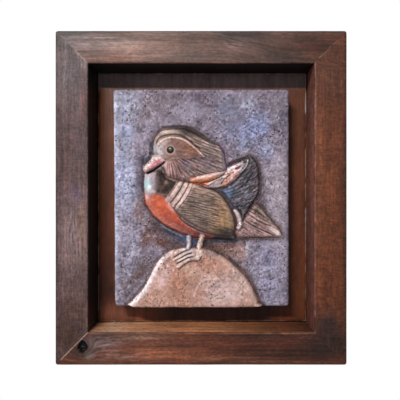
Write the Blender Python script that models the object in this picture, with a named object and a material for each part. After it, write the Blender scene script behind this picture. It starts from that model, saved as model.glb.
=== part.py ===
"""A fired clay relief of a mandarin duck on a rock, set in a deep box frame of stained wood.

Metres, +Z up. The front faces -Y. The origin is on the wall, behind the middle of the top rail.
"""
import math

import bmesh
import bpy
import numpy as np
from mathutils import Matrix, Vector

# Frame: four mitred rails with a lip at the back that carries the backing board
FRAME_WIDTH = 0.272
FRAME_HEIGHT = 0.312
RAIL_FACE = 0.030
RECESS = 0.034
LIP_REACH = 0.012
LIP_THICKNESS = 0.0047
OUTER_ARRIS = 0.0008
INNER_ARRIS = 0.0010
MITRE_GAP = 0.0003

# Backing board, which lies on the lip and stands a little to the left and up in its opening
BOARD_THICKNESS = 0.004
BOARD_PLAY = 0.0010
BOARD_SHIFT = 0.0006
BOARD_ARRIS = 0.0007
SEAT_GAP = 0.0003

# Tile: one block of clay that stands on the board
TILE_WIDTH = 0.1665
TILE_HEIGHT = 0.2065
TILE_THICKNESS = 0.0262
TILE_CORNER = 0.0036
TILE_EDGE = 0.0028
TILE_LEFT_LEAN = 0.0017
MESH_STEP = 0.0015
TILE_FACES = 8400

# Relief heights above the tile's ground
ROCK_RISE = 0.0062
BODY_RISE = 0.0060
HEAD_RISE = 0.0056
BEAK_RISE = 0.0036
FAN_RISE = 0.0036
TAIL_RISE = 0.0032
LEG_RISE = 0.0034
GROOVE_DEPTH = 0.0009
GROOVE_WIDTH = 0.0022
CUT_DEPTH = 0.0006
EYE_RISE = 0.0012

# The figure is drawn on a grid of squares from the tile's lower left corner.
# This many squares make the tile's height, so the figure keeps its share of the tile.
SQUARES_UP = 217
SQUARE = TILE_HEIGHT / SQUARES_UP

# Masses that stand up from the ground, each with its outline in squares
ROCK = ((14, 0), (17.5, 7), (22.5, 12.5), (28, 18.5), (31.5, 24.5), (35.5, 32), (39, 39.5), (43, 45.5),
        (48, 51), (54, 55.7), (60, 58.3), (67, 59.5), (76, 60), (85, 60), (93, 58.5), (101, 56),
        (108, 52.2), (115, 47.2), (122, 41), (128, 35), (133.5, 28.5), (138, 21.5), (142, 13.5),
        (145, 6), (146.5, -2), (110, -14), (40, -14))
HEAD = ((39, 153), (38.8, 158), (39.5, 163), (40.5, 168), (43.5, 172.5), (48, 176), (54, 177.2),
        (62, 177.8), (70, 178.4), (76, 176.5), (83, 173), (92, 167.5), (100, 163.5), (107, 160),
        (110.5, 154), (112, 146), (113, 137), (106, 129), (92, 124), (78, 123), (67, 124),
        (58, 126), (52.5, 129.5), (50, 136), (46, 141), (41, 147))
BEAK = ((39.5, 152), (36, 147), (32, 142.5), (29.3, 139), (29.5, 135), (32.5, 132.6), (36, 133.8),
        (41, 137), (46, 140.4), (51, 143.6), (50, 148), (44, 151))
BODY = ((30.5, 133), (29.3, 126), (29.2, 119), (29.8, 113), (30.3, 104), (33.5, 97.5), (38, 91.5),
        (44, 85.5), (52, 80), (61, 75.5), (70, 71.2), (79, 68.4), (88, 67.2), (101, 66.9), (121, 67),
        (121.3, 79), (119.5, 91), (115, 101.5), (106.5, 112.5), (99, 117.5), (92, 121), (85, 123),
        (77, 124.5), (66, 128), (52, 132), (44, 136), (36, 134))
FAN = ((106, 116), (113, 120.5), (119, 124.5), (125, 130.5), (131, 137.5), (134, 145), (135, 150.5),
       (140.5, 147.6), (144, 141), (145.5, 131), (145.8, 121), (144.5, 112), (140, 104.5), (135.5, 97.5),
       (131.5, 91), (128.5, 86), (126.5, 92), (122.5, 97.5), (119, 100), (114, 107), (109.5, 112.5))
TAIL = ((129.5, 88), (135, 96), (138, 101.5), (143.5, 102.5), (148.5, 98.5), (154, 91.5), (161, 83.5),
        (166, 78), (168.4, 72.5), (167.6, 69.6), (163, 68.6), (154, 68.2), (141, 68), (123, 68.5),
        (119, 75), (122, 82))

# Forms that lie on those masses
BELLY = ((30.3, 115), (36, 114), (44, 112), (51, 109.2), (55.6, 104.4), (60, 97), (66, 89), (72, 83.5),
         (78, 79), (86, 76), (94, 74.4), (101, 71.4), (93, 67.4), (86, 67.4), (78, 68.6), (72, 70.6),
         (66, 73.6), (58, 77.5), (51, 81.5), (44, 86.5), (38, 92), (34, 98), (31, 104), (30, 109))
WING = ((77, 123.5), (85, 121.5), (94, 117.5), (101, 116), (107, 112), (114, 102.5), (119, 91.5),
        (121, 79), (119.6, 74.4), (111.5, 72.8), (104, 73), (97, 75), (89, 78.4), (81, 82), (72, 88),
        (65, 93.5), (61, 98), (65.5, 103.5), (71, 109.5), (75, 116.5))
SAIL = ((76.5, 125), (82, 129), (90, 131.5), (100, 133.5), (108, 134.8), (113.2, 137.5), (118, 140.2),
        (122.7, 142.3), (128.4, 145), (130.4, 143.6), (133.6, 142), (130, 138), (124, 130.5), (118, 124.5),
        (112, 120.3), (105, 118.2), (97, 117.5), (90, 120), (83, 122.5))
CHEEK = ((51.5, 145), (50, 139), (50.2, 133.5), (53, 129.3), (58.5, 127), (65, 126.8), (73, 127.5),
         (82, 131), (84, 140), (78, 147), (68, 149.5), (58, 148))
FACE = ((43, 158), (44, 162.5), (47, 165.5), (51, 167.7), (57, 169), (63, 169.3), (68, 168), (73, 165.5),
        (80, 160.5), (86, 155), (92, 149), (80, 147), (66, 146), (54, 146), (45, 150))
SMALL_FEATHER = ((119.8, 97), (123.1, 95.4), (125.8, 90.8), (127, 85.6), (126.7, 81), (125.2, 77.8),
                 (122.4, 78.2), (123, 82.6), (122.8, 86.7), (121, 91.7), (119.6, 94.3))
THROAT = ((44, 137), (48, 136), (53, 129), (60, 126.3), (63, 124), (60, 118), (56, 112.5), (50, 112),
          (43, 114.5), (41, 122), (42, 130))

# Ridges and cuts that run along a line
CROWN_CUT = ((43.5, 163), (45.5, 167), (51, 170), (58, 171.2), (64, 171.2), (70, 169), (77, 164.5),
             (86, 157.5))
BELLY_CUT = ((30.3, 115), (44, 112.4), (51, 109.4), (56, 104.4), (60, 97), (66, 89), (72, 83.5),
             (86, 76), (101, 71.6))
COLLAR = (((68.4, 126.5), (65.6, 121.5), (62.6, 116.6), (58.6, 111), (54.6, 106.4)),
          ((73.3, 124), (71, 118), (68, 112.4), (64, 106.5), (60, 101.4)),
          ((77.2, 122.6), (75.4, 117), (72.2, 111.4), (68.4, 105.6), (64, 100.2)))
LEGS = (((74.8, 70), (75, 64), (74.2, 58)), ((87.8, 70), (86, 63.4), (84.9, 58), (84.9, 53), (83.2, 49.8)))
TOES = (((84.2, 50), (80.6, 49), (76.6, 48.3), (72.7, 46.6), (67.9, 43.2), (64, 40.4)),
        ((79.8, 52.3), (74.3, 50.9), (69.5, 48.7), (63.5, 46.1)),
        ((77.6, 56.3), (71.9, 53.9), (66.3, 50.3), (60.4, 47.6)),
        ((74.4, 58.8), (68.7, 57.9), (63.5, 55.5), (61.4, 53.6)))
MOUTH = ((34.2, 133.2), (38.5, 135.2), (42.4, 137.8), (47, 141), (50.8, 143.7))
TAIL_CUTS = (((132.7, 93.7), (143.9, 85.8), (150, 82.6), (156, 80.6)),
             ((131.7, 85.1), (139.8, 80.6), (147.9, 76.5), (160.1, 71)),
             ((135.8, 98.8), (145.9, 92.7), (154, 86.7)))
FAN_CUTS = (((112, 112), (122, 116), (132, 124), (141, 138)),
            ((114, 107), (126, 109), (136, 114), (144, 122)),
            ((120, 100), (129, 100), (136, 101), (140, 105)))
WING_CUTS = (((78, 118), (90, 115), (102, 111), (110, 105)),
             ((74, 110), (88, 107), (102, 102), (115, 95)),
             ((70, 103), (86, 98), (102, 92), (118, 85)),
             ((68, 96), (84, 90), (100, 83), (119, 76)))
SAIL_CUTS = (((94, 120.5), (102, 125), (112, 130), (124, 136.5)),
             ((108, 119.5), (113, 126), (120, 131.5), (127, 136)))
CREST_CUTS = (((86, 157), (96, 151), (104, 145), (112, 137)), ((84, 150), (93, 144), (102, 138), (108, 131)),
              ((90, 163), (100, 157.5), (107, 152), (112, 144)))
EYE = (57.3, 155.8)
EYE_RADIUS = 3.3

PANEL_DEPTH = RECESS + BOARD_THICKNESS + SEAT_GAP + LIP_THICKNESS
CENTRE_Z = RAIL_FACE / 2 - FRAME_HEIGHT / 2
OPENING_WIDTH = FRAME_WIDTH - 2 * RAIL_FACE
OPENING_HEIGHT = FRAME_HEIGHT - 2 * RAIL_FACE
BOARD_FRONT = -(LIP_THICKNESS + SEAT_GAP + BOARD_THICKNESS)

CHESTNUT = (0.085, 0.036, 0.021)
UMBER = (0.060, 0.029, 0.019)
BOARD_BROWN = (0.098, 0.048, 0.026)
CLAY = (0.285, 0.250, 0.310)


def clear_scene():
    for thing in list(bpy.data.objects):
        bpy.data.objects.remove(thing, do_unlink=True)


def make_collection(name):
    collection = bpy.data.collections.new(name)
    bpy.context.scene.collection.children.link(collection)
    return collection


def make_material(name, colour, roughness):
    material = bpy.data.materials.new(name)
    material.use_nodes = True
    shader = material.node_tree.nodes["Principled BSDF"]
    shader.inputs["Base Color"].default_value = (*colour, 1.0)
    shader.inputs["Roughness"].default_value = roughness
    shader.inputs["Metallic"].default_value = 0.0
    return material


def add_object(name, bm, collection, material, parent):
    bmesh.ops.recalc_face_normals(bm, faces=bm.faces)
    mesh = bpy.data.meshes.new(name)
    bm.to_mesh(mesh)
    bm.free()
    mesh.materials.append(material)
    thing = bpy.data.objects.new(name, mesh)
    collection.objects.link(thing)
    thing.parent = parent
    return thing


def long_edges_at(bm, depth, inward):
    """Edges along X at one place of a rail's section."""
    found = []
    for edge in bm.edges:
        a, b = (v.co for v in edge.verts)
        along = abs(a.x - b.x) > 1e-6
        here = abs(a.y - depth) < 1e-6 and abs(a.z + inward) < 1e-6
        there = abs(b.y - depth) < 1e-6 and abs(b.z + inward) < 1e-6
        if along and here and there:
            found.append(edge)
    return found


def cut_end(bm, side, half_length):
    """Cut one end at 45 degrees, so that the rail is longest on its outer edge."""
    normal = Vector((side, 0.0, -1.0)).normalized()
    corner = Vector((side * half_length, 0.0, 0.0)) - normal * MITRE_GAP / 2
    cut = bmesh.ops.bisect_plane(bm, geom=bm.verts[:] + bm.edges[:] + bm.faces[:], plane_co=corner,
                                 plane_no=normal, clear_outer=True, dist=1e-7)
    edges = [item for item in cut["geom_cut"] if isinstance(item, bmesh.types.BMEdge)]
    bmesh.ops.contextual_create(bm, geom=edges)


def make_rail_mesh(length):
    """A rail along X with its outer edge on z = 0, its back on y = 0 and its inside towards -Z."""
    deep = RAIL_FACE + LIP_REACH
    section = ((0.0, 0.0), (0.0, deep), (-LIP_THICKNESS, deep), (-LIP_THICKNESS, RAIL_FACE),
               (-PANEL_DEPTH, RAIL_FACE), (-PANEL_DEPTH, 0.0))
    bm = bmesh.new()
    start = [bm.verts.new((-length / 2, depth, -inward)) for depth, inward in section]
    face = bm.faces.new(start)
    grown = bmesh.ops.extrude_face_region(bm, geom=[face])
    moved = [item for item in grown["geom"] if isinstance(item, bmesh.types.BMVert)]
    bmesh.ops.translate(bm, verts=moved, vec=(length, 0.0, 0.0))
    for inward, radius in ((0.0, OUTER_ARRIS), (RAIL_FACE, INNER_ARRIS)):
        bmesh.ops.bevel(bm, geom=long_edges_at(bm, -PANEL_DEPTH, inward), offset=radius, segments=3,
                        profile=0.5, affect="EDGES", material=-1)
    for side in (-1, 1):
        cut_end(bm, side, length / 2)
    return bm


def make_frame(collection, parent):
    chestnut = make_material("stained_wood_chestnut", CHESTNUT, 0.42)
    umber = make_material("stained_wood_umber", UMBER, 0.42)
    half_height = FRAME_HEIGHT / 2
    half_width = FRAME_WIDTH / 2
    rails = (("frame_top_rail", FRAME_WIDTH, 0, half_height, chestnut),
             ("frame_right_stile", FRAME_HEIGHT, 90, half_width, chestnut),
             ("frame_bottom_rail", FRAME_WIDTH, 180, half_height, umber),
             ("frame_left_stile", FRAME_HEIGHT, 270, half_width, umber))
    for name, length, turn, reach, material in rails:
        rail = add_object(name, make_rail_mesh(length), collection, material, parent)
        rail.rotation_euler = (0.0, math.radians(turn), 0.0)
        rail.location = Matrix.Rotation(math.radians(turn), 3, "Y") @ Vector((0.0, 0.0, reach))


def make_board(collection, parent):
    material = make_material("stained_board", BOARD_BROWN, 0.5)
    bm = bmesh.new()
    bmesh.ops.create_cube(bm, size=1.0)
    size = (OPENING_WIDTH - 2 * BOARD_PLAY, BOARD_THICKNESS, OPENING_HEIGHT - 2 * BOARD_PLAY)
    bmesh.ops.scale(bm, verts=bm.verts, vec=size)
    front = [edge for edge in bm.edges if all(vert.co.y < 0 for vert in edge.verts)]
    bmesh.ops.bevel(bm, geom=front, offset=BOARD_ARRIS, segments=2, profile=0.5, affect="EDGES",
                    material=-1)
    board = add_object("backing_board", bm, collection, material, parent)
    board.location = (-BOARD_SHIFT, BOARD_FRONT + BOARD_THICKNESS / 2, BOARD_SHIFT)


def curve_through(points, closed, steps=6):
    """A smooth line through the given points, as an array of x and y."""
    base = np.array(points, dtype=float)
    count = len(base)
    spans = count if closed else count - 1
    share = np.arange(steps)[:, None] / steps
    line = []
    for i in range(spans):
        if closed:
            a, b, c, d = (base[(i + k) % count] for k in (-1, 0, 1, 2))
        else:
            a, b, c, d = (base[min(max(i + k, 0), count - 1)] for k in (-1, 0, 1, 2))
        line.append(0.5 * (2 * b + (c - a) * share + (2 * a - 5 * b + 4 * c - d) * share**2
                           + (3 * b - a - 3 * c + d) * share**3))
    if not closed:
        line.append(base[-1:])
    return np.vstack(line)


def near_line(spots, line, margin=10.0):
    """Which spots are in a line's box, or within a margin of it."""
    return np.all((spots > line.min(0) - margin) & (spots < line.max(0) + margin), axis=1)


def distance_to(spots, line, closed):
    """Each spot's distance to a line, where it is near enough to matter."""
    distance = np.full(len(spots), np.inf)
    near = near_line(spots, line)
    places = spots[near]
    best = np.full(len(places), np.inf)
    last = len(line) if closed else len(line) - 1
    for i in range(last):
        a = line[i]
        step = line[(i + 1) % len(line)] - a
        share = np.clip((places - a) @ step / max(step @ step, 1e-12), 0.0, 1.0)
        best = np.minimum(best, np.hypot(*(places - a - share[:, None] * step).T))
    distance[near] = best
    return distance


def is_inside(spots, line):
    """Which spots a closed line holds, by counting its crossings to the right."""
    x, y = spots.T
    held = np.zeros(len(spots), dtype=bool)
    for i in range(len(line)):
        (ax, ay), (bx, by) = line[i - 1], line[i]
        if ay == by:
            continue
        crosses = (ay > y) != (by > y)
        held ^= crosses & (x < ax + (y - ay) * (bx - ax) / (by - ay))
    return held


def reach_in(spots, outline):
    """Distance into an outline: positive inside it and negative outside it, in squares."""
    line = curve_through(outline, True)
    distance = distance_to(spots, line, True)
    return np.where(is_inside(spots, line), distance, -distance)


def pillow(reach, roll):
    """A rounded rise from 0 at an outline to 1 at a distance of roll inside it."""
    share = np.clip(reach / roll, 0.0, 1.0)
    return 1.0 - (1.0 - share) ** 2


def swell(reach, roll, far):
    """A rise that is quick over its first stretch and goes on gently to the middle of the form."""
    return 0.68 * pillow(reach, roll) + 0.32 * pillow(reach, far)


def ridge(spots, line, width):
    distance = distance_to(spots, curve_through(line, False), False)
    return np.exp(-((distance / width) ** 2))


def relief(spots):
    """Height of the carving above the tile's ground, in metres, at spots given in squares."""
    masses = ((ROCK, ROCK_RISE, 6.0, 46.0), (BODY, BODY_RISE, 7.0, 26.0), (HEAD, HEAD_RISE, 6.0, 22.0),
              (BEAK, BEAK_RISE, 3.5, 6.0), (FAN, FAN_RISE, 4.0, 12.0), (TAIL, TAIL_RISE, 4.0, 12.0))
    height = np.zeros(len(spots))
    rim = np.full(len(spots), np.inf)
    for outline, rise, roll, far in masses:
        reach = reach_in(spots, outline)
        height = np.maximum(height, rise * swell(reach, roll, far))
        rim = np.minimum(rim, np.where(reach > 3.0, np.inf, np.abs(reach)))
    height -= GROOVE_DEPTH * np.exp(-((rim * SQUARE / GROOVE_WIDTH) ** 2))

    forms = ((BELLY, -0.0004, 6.0), (WING, 0.0010, 3.0), (SAIL, 0.0013, 3.0), (FACE, 0.0005, 2.5),
             (CHEEK, 0.0006, 3.0), (SMALL_FEATHER, 0.0014, 2.0), (THROAT, -0.0008, 4.0))
    for outline, rise, roll in forms:
        height += rise * pillow(reach_in(spots, outline), roll)
    for line in COLLAR:
        height += 0.0009 * ridge(spots, line, 1.7)
    for line in LEGS:
        height = np.maximum(height, LEG_RISE * ridge(spots, line, 2.3))
    for line in TOES:
        height += 0.0009 * ridge(spots, line, 1.4)
    height -= 0.0014 * ridge(spots, MOUTH, 1.3)
    for group in (TAIL_CUTS, FAN_CUTS, SAIL_CUTS, CREST_CUTS, WING_CUTS, (CROWN_CUT, BELLY_CUT)):
        for line in group:
            height -= CUT_DEPTH * ridge(spots, line, 1.3)
    eye_reach = 1.0 - (np.hypot(*(spots - np.array(EYE)).T) / EYE_RADIUS) ** 2
    return height + EYE_RISE * np.sqrt(np.clip(eye_reach, 0.0, 1.0))


def grid_places(length):
    """Places of the grid's lines along one side, closer together on the rounded edge."""
    near = TILE_EDGE * np.array((0.0, 0.12, 0.42))
    middle = np.linspace(TILE_EDGE, length - TILE_EDGE, round((length - 2 * TILE_EDGE) / MESH_STEP))
    return np.concatenate((near, middle, length - near[::-1]))


def round_corners(x, y):
    """Bend the square corners of the tile's plan into quarter circles."""
    along = np.clip((abs(x) - (TILE_WIDTH / 2 - TILE_CORNER)) / TILE_CORNER, 0.0, 1.0)
    up = np.clip((abs(y) - (TILE_HEIGHT / 2 - TILE_CORNER)) / TILE_CORNER, 0.0, 1.0)
    both = (along > 0) & (up > 0)
    pull_x = np.where(both, along * (1 - np.sqrt(1 - up**2 / 2)) * TILE_CORNER, 0.0)
    pull_y = np.where(both, up * (1 - np.sqrt(1 - along**2 / 2)) * TILE_CORNER, 0.0)
    return x - np.sign(x) * pull_x, y - np.sign(y) * pull_y


def make_tile_mesh():
    """The carved front as a grid, drawn back to a flat rear face."""
    across = grid_places(TILE_WIDTH)
    up = grid_places(TILE_HEIGHT)
    bm = bmesh.new()
    bmesh.ops.create_grid(bm, x_segments=len(across) - 1, y_segments=len(up) - 1, size=0.5)
    share = np.array([vert.co[:2] for vert in bm.verts]) + 0.5
    x = across[np.rint(share[:, 0] * (len(across) - 1)).astype(int)]
    y = up[np.rint(share[:, 1] * (len(up) - 1)).astype(int)]
    edge = np.minimum(np.minimum(x, TILE_WIDTH - x), np.minimum(y, TILE_HEIGHT - y))
    x, y = round_corners(x - TILE_WIDTH / 2, y - TILE_HEIGHT / 2)
    spots = np.column_stack((x + TILE_WIDTH / 2, y + TILE_HEIGHT / 2)) / SQUARE
    fall = TILE_EDGE * (1 - np.sqrt(np.clip(1 - (1 - np.clip(edge / TILE_EDGE, 0, 1)) ** 2, 0, 1)))
    z = relief(spots) - fall
    x += TILE_LEFT_LEAN * (0.5 - x / TILE_WIDTH) * (0.5 - (y / TILE_HEIGHT + 0.5))
    for vert, place in zip(bm.verts, np.column_stack((x, y, z))):
        vert.co = place

    rim = [e for e in bm.edges if e.is_boundary]
    grown = bmesh.ops.extrude_edge_only(bm, edges=rim)
    for item in grown["geom"]:
        if isinstance(item, bmesh.types.BMVert):
            item.co.z = -TILE_THICKNESS
    bmesh.ops.contextual_create(bm, geom=[e for e in bm.edges if e.is_boundary])
    bmesh.ops.triangulate(bm, faces=bm.faces)
    return bm


def make_tile(collection, parent):
    material = make_material("painted_clay", CLAY, 0.85)
    tile = add_object("relief_tile", make_tile_mesh(), collection, material, parent)
    tile.rotation_euler = (math.radians(90), 0.0, 0.0)
    tile.location = (0.0, BOARD_FRONT - SEAT_GAP - TILE_THICKNESS, 0.0)
    thin = tile.modifiers.new("fewer faces", "DECIMATE")
    thin.ratio = TILE_FACES / len(tile.data.polygons)


def main():
    clear_scene()
    collection = make_collection("duck_relief_wall_panel")
    centre = bpy.data.objects.new("panel_centre", None)
    centre.location = (0.0, 0.0, CENTRE_Z)
    collection.objects.link(centre)
    make_frame(collection, centre)
    make_board(collection, centre)
    make_tile(collection, centre)


main()
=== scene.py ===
import math

import bmesh
import bpy
import numpy as np
from mathutils import Matrix, Vector


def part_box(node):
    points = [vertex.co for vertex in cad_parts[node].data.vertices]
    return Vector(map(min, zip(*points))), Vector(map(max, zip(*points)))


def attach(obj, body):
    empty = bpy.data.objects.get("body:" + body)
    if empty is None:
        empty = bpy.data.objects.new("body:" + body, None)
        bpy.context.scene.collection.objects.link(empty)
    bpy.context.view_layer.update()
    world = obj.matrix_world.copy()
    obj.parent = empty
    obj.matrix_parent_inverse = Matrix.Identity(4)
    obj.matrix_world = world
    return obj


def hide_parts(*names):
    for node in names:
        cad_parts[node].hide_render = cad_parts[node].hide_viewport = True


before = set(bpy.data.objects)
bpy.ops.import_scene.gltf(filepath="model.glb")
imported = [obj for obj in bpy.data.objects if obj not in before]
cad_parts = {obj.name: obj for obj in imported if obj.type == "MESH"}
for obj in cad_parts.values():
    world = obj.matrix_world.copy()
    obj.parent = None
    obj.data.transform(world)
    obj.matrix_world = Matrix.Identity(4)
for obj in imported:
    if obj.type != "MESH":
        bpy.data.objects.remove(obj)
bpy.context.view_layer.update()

# Frame, in metres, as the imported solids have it
board_low, board_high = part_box("backing_board")
top_low, top_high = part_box("frame_top_rail")
bottom_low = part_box("frame_bottom_rail")[0]
tile_low, tile_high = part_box("relief_tile")
FRAME_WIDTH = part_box("frame_right_stile")[1].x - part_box("frame_left_stile")[0].x
FRAME_HEIGHT = top_high.z - bottom_low.z
CENTRE_Z = (top_high.z + bottom_low.z) / 2
FRAME_FRONT = top_low.y
FRAME_BACK = top_high.y
RAIL_FACE = 0.030
LIP_REACH = 0.012
LIP_THICKNESS = 0.0047
OUTER_ARRIS = 0.0008
INNER_ARRIS = 0.0010
BOARD_ARRIS = 0.0007
BOARD_SEGMENTS = (140, 166)
FRAME_CORNER = 0.0028
KNOT_AT = (-0.1105, -0.1390)
KNOT_SIZE = (0.0040, 0.0058)
KNOT_STAIN_SIZE = (0.0050, 0.0080)
KNOT_TURN = -20
KNOT_HOLE = 0.0045
KNOT_GRAIN_REACH = 0.0075
RAIL_STEP = 0.0016

# Tile
TILE_WIDTH = 0.1665
TILE_HEIGHT = tile_high.z - tile_low.z
TILE_BACK = tile_high.y
TILE_THICKNESS = 0.0262
TILE_CORNER = 0.0036
TILE_EDGE = 0.0028
TILE_LEFT_LEAN = 0.0017

# Relief heights above the tile's ground
ROCK_RISE = 0.0062
BODY_RISE = 0.0060
HEAD_RISE = 0.0056
BEAK_RISE = 0.0036
FAN_RISE = 0.0036
TAIL_RISE = 0.0032
LEG_RISE = 0.0034
GROOVE_DEPTH = 0.0009
GROOVE_WIDTH = 0.0022
CUT_DEPTH = 0.0006
EYE_RISE = 0.0012

# The figure is drawn on squares from the tile's lower left corner, this many to its height
SQUARES_UP = 217
SQUARE = TILE_HEIGHT / SQUARES_UP

# The carved part of the tile, in squares, where the mesh is finest
CARVED_LEFT = 12
CARVED_RIGHT = 171
CARVED_TOP = 182
FINE_STEP = 0.00060
COARSE_STEP = 0.0010

# Camera and lights; the powers are in watts
CAMERA_GAP = 0.420
CAMERA_SIDE = 0.0195
CAMERA_ABOVE = 0.0008
SENSOR_WIDTH = 36.0
LENS = 40.5
LENS_SHIFT = (-0.0549, -0.0075)
KEY_POWER = 13.4
SHEEN_POWER = 2.5
STUDIO_LIGHT = 0.42

ROCK = ((14, 0), (17.5, 7), (22.5, 12.5), (28, 18.5), (31.5, 24.5), (35.5, 32), (39, 39.5), (43, 45.5),
        (48, 51), (54, 55.7), (60, 58.3), (67, 59.5), (76, 60), (85, 60), (93, 58.5), (101, 56),
        (108, 52.2), (115, 47.2), (122, 41), (128, 35), (133.5, 28.5), (138, 21.5), (142, 13.5),
        (145, 6), (146.5, -2), (110, -14), (40, -14))
HEAD = ((39, 153), (38.8, 158), (39.5, 163), (40.5, 168), (43.5, 172.5), (48, 176), (54, 177.2),
        (62, 177.8), (70, 178.4), (76, 176.5), (83, 173), (92, 167.5), (100, 163.5), (107, 160),
        (110.5, 154), (112, 146), (113, 137), (106, 129), (92, 124), (78, 123), (67, 124),
        (58, 126), (52.5, 129.5), (50, 136), (46, 141), (41, 147))
BEAK = ((39.5, 152), (36, 147), (32, 142.5), (29.3, 139), (29.5, 135), (32.5, 132.6), (36, 133.8),
        (41, 137), (46, 140.4), (51, 143.6), (50, 148), (44, 151))
BODY = ((30.5, 133), (29.3, 126), (29.2, 119), (29.8, 113), (30.3, 104), (33.5, 97.5), (38, 91.5),
        (44, 85.5), (52, 80), (61, 75.5), (70, 71.2), (79, 68.4), (88, 67.2), (101, 66.9), (121, 67),
        (121.3, 79), (119.5, 91), (115, 101.5), (106.5, 112.5), (99, 117.5), (92, 121), (85, 123),
        (77, 124.5), (66, 128), (52, 132), (44, 136), (36, 134))
FAN = ((106, 116), (113, 120.5), (119, 124.5), (125, 130.5), (131, 137.5), (134, 145), (135, 150.5),
       (140.5, 147.6), (144, 141), (145.5, 131), (145.8, 121), (144.5, 112), (140, 104.5), (135.5, 97.5),
       (131.5, 91), (128.5, 86), (126.5, 92), (122.5, 97.5), (119, 100), (114, 107), (109.5, 112.5))
TAIL = ((129.5, 88), (135, 96), (138, 101.5), (143.5, 102.5), (148.5, 98.5), (154, 91.5), (161, 83.5),
        (166, 78), (168.4, 72.5), (167.6, 69.6), (163, 68.6), (154, 68.2), (141, 68), (123, 68.5),
        (119, 75), (122, 82))
BELLY = ((30.3, 115), (36, 114), (44, 112), (51, 109.2), (55.6, 104.4), (60, 97), (66, 89), (72, 83.5),
         (78, 79), (86, 76), (94, 74.4), (101, 71.4), (93, 67.4), (86, 67.4), (78, 68.6), (72, 70.6),
         (66, 73.6), (58, 77.5), (51, 81.5), (44, 86.5), (38, 92), (34, 98), (31, 104), (30, 109))
WING = ((77, 123.5), (85, 121.5), (94, 117.5), (101, 116), (107, 112), (114, 102.5), (119, 91.5),
        (121, 79), (119.6, 74.4), (111.5, 72.8), (104, 73), (97, 75), (89, 78.4), (81, 82), (72, 88),
        (65, 93.5), (61, 98), (65.5, 103.5), (71, 109.5), (75, 116.5))
SAIL = ((76.5, 125), (82, 129), (90, 131.5), (100, 133.5), (108, 134.8), (113.2, 137.5), (118, 140.2),
        (122.7, 142.3), (128.4, 145), (130.4, 143.6), (133.6, 142), (130, 138), (124, 130.5), (118, 124.5),
        (112, 120.3), (105, 118.2), (97, 117.5), (90, 120), (83, 122.5))
CHEEK = ((51.5, 145), (50, 139), (50.2, 133.5), (53, 129.3), (58.5, 127), (65, 126.8), (73, 127.5),
         (82, 131), (84, 140), (78, 147), (68, 149.5), (58, 148))
FACE = ((43, 158), (44, 162.5), (47, 165.5), (51, 167.7), (57, 169), (63, 169.3), (68, 168), (73, 165.5),
        (80, 160.5), (86, 155), (92, 149), (80, 147), (66, 146), (54, 146), (45, 150))
SMALL_FEATHER = ((119.8, 97), (123.1, 95.4), (125.8, 90.8), (127, 85.6), (126.7, 81), (125.2, 77.8),
                 (122.4, 78.2), (123, 82.6), (122.8, 86.7), (121, 91.7), (119.6, 94.3))
THROAT = ((44, 137), (48, 136), (53, 129), (60, 126.3), (63, 124), (60, 118), (56, 112.5), (50, 112),
          (43, 114.5), (41, 122), (42, 130))
CROWN_CUT = ((43.5, 163), (45.5, 167), (51, 170), (58, 171.2), (64, 171.2), (70, 169), (77, 164.5),
             (86, 157.5))
BELLY_CUT = ((30.3, 115), (44, 112.4), (51, 109.4), (56, 104.4), (60, 97), (66, 89), (72, 83.5),
             (86, 76), (101, 71.6))
COLLAR = (((68.4, 126.5), (65.6, 121.5), (62.6, 116.6), (58.6, 111), (54.6, 106.4)),
          ((73.3, 124), (71, 118), (68, 112.4), (64, 106.5), (60, 101.4)),
          ((77.2, 122.6), (75.4, 117), (72.2, 111.4), (68.4, 105.6), (64, 100.2)))
COLLAR_CUTS = (((70.8, 125), (68.4, 119.8), (65.4, 114.6), (61.4, 108.8), (57.4, 104)),
               ((75.4, 123.4), (73.2, 117.6), (70.2, 112), (66.2, 106), (62, 100.8)),
               ((79.2, 122.6), (77.6, 117), (74.6, 111), (70.6, 105), (66, 99.6)))
LEGS = (((74.8, 70), (75, 64), (74.2, 58)), ((87.8, 70), (86, 63.4), (84.9, 58), (84.9, 53), (83.2, 49.8)))
TOES = (((84.2, 50), (80.6, 49), (76.6, 48.3), (72.7, 46.6), (67.9, 43.2), (64, 40.4)),
        ((79.8, 52.3), (74.3, 50.9), (69.5, 48.7), (63.5, 46.1)),
        ((77.6, 56.3), (71.9, 53.9), (66.3, 50.3), (60.4, 47.6)),
        ((74.4, 58.8), (68.7, 57.9), (63.5, 55.5), (61.4, 53.6)))
TOE_CUTS = (((78.4, 50.4), (72.9, 48.9), (67.1, 45.8), (63.6, 44)),
            ((77.6, 54), (71.9, 52.1), (67.9, 49.8), (62, 46.9)),
            ((76, 57), (70.3, 55.5), (65.5, 53.1), (60.8, 50)))
MOUTH = ((34.2, 133.2), (38.5, 135.2), (42.4, 137.8), (47, 141), (50.8, 143.7))
TAIL_CUTS = (((132.7, 93.7), (143.9, 85.8), (150, 82.6), (156, 80.6)),
             ((131.7, 85.1), (139.8, 80.6), (147.9, 76.5), (160.1, 71)),
             ((135.8, 98.8), (145.9, 92.7), (154, 86.7)))
FAN_CUTS = (((112, 112), (122, 116), (132, 124), (141, 138)),
            ((114, 107), (126, 109), (136, 114), (144, 122)),
            ((120, 100), (129, 100), (136, 101), (140, 105)))
WING_CUTS = (((78, 118), (90, 115), (102, 111), (110, 105)),
             ((74, 110), (88, 107), (102, 102), (115, 95)),
             ((70, 103), (86, 98), (102, 92), (118, 85)),
             ((68, 96), (84, 90), (100, 83), (119, 76)))
SAIL_CUTS = (((94, 120.5), (102, 125), (112, 130), (124, 136.5)),
             ((108, 119.5), (113, 126), (120, 131.5), (127, 136)))
CREST_CUTS = (((86, 157), (96, 151), (104, 145), (112, 137)),
              ((84, 150), (93, 144), (102, 138), (108, 131)),
              ((90, 163), (100, 157.5), (107, 152), (112, 144)))
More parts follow.
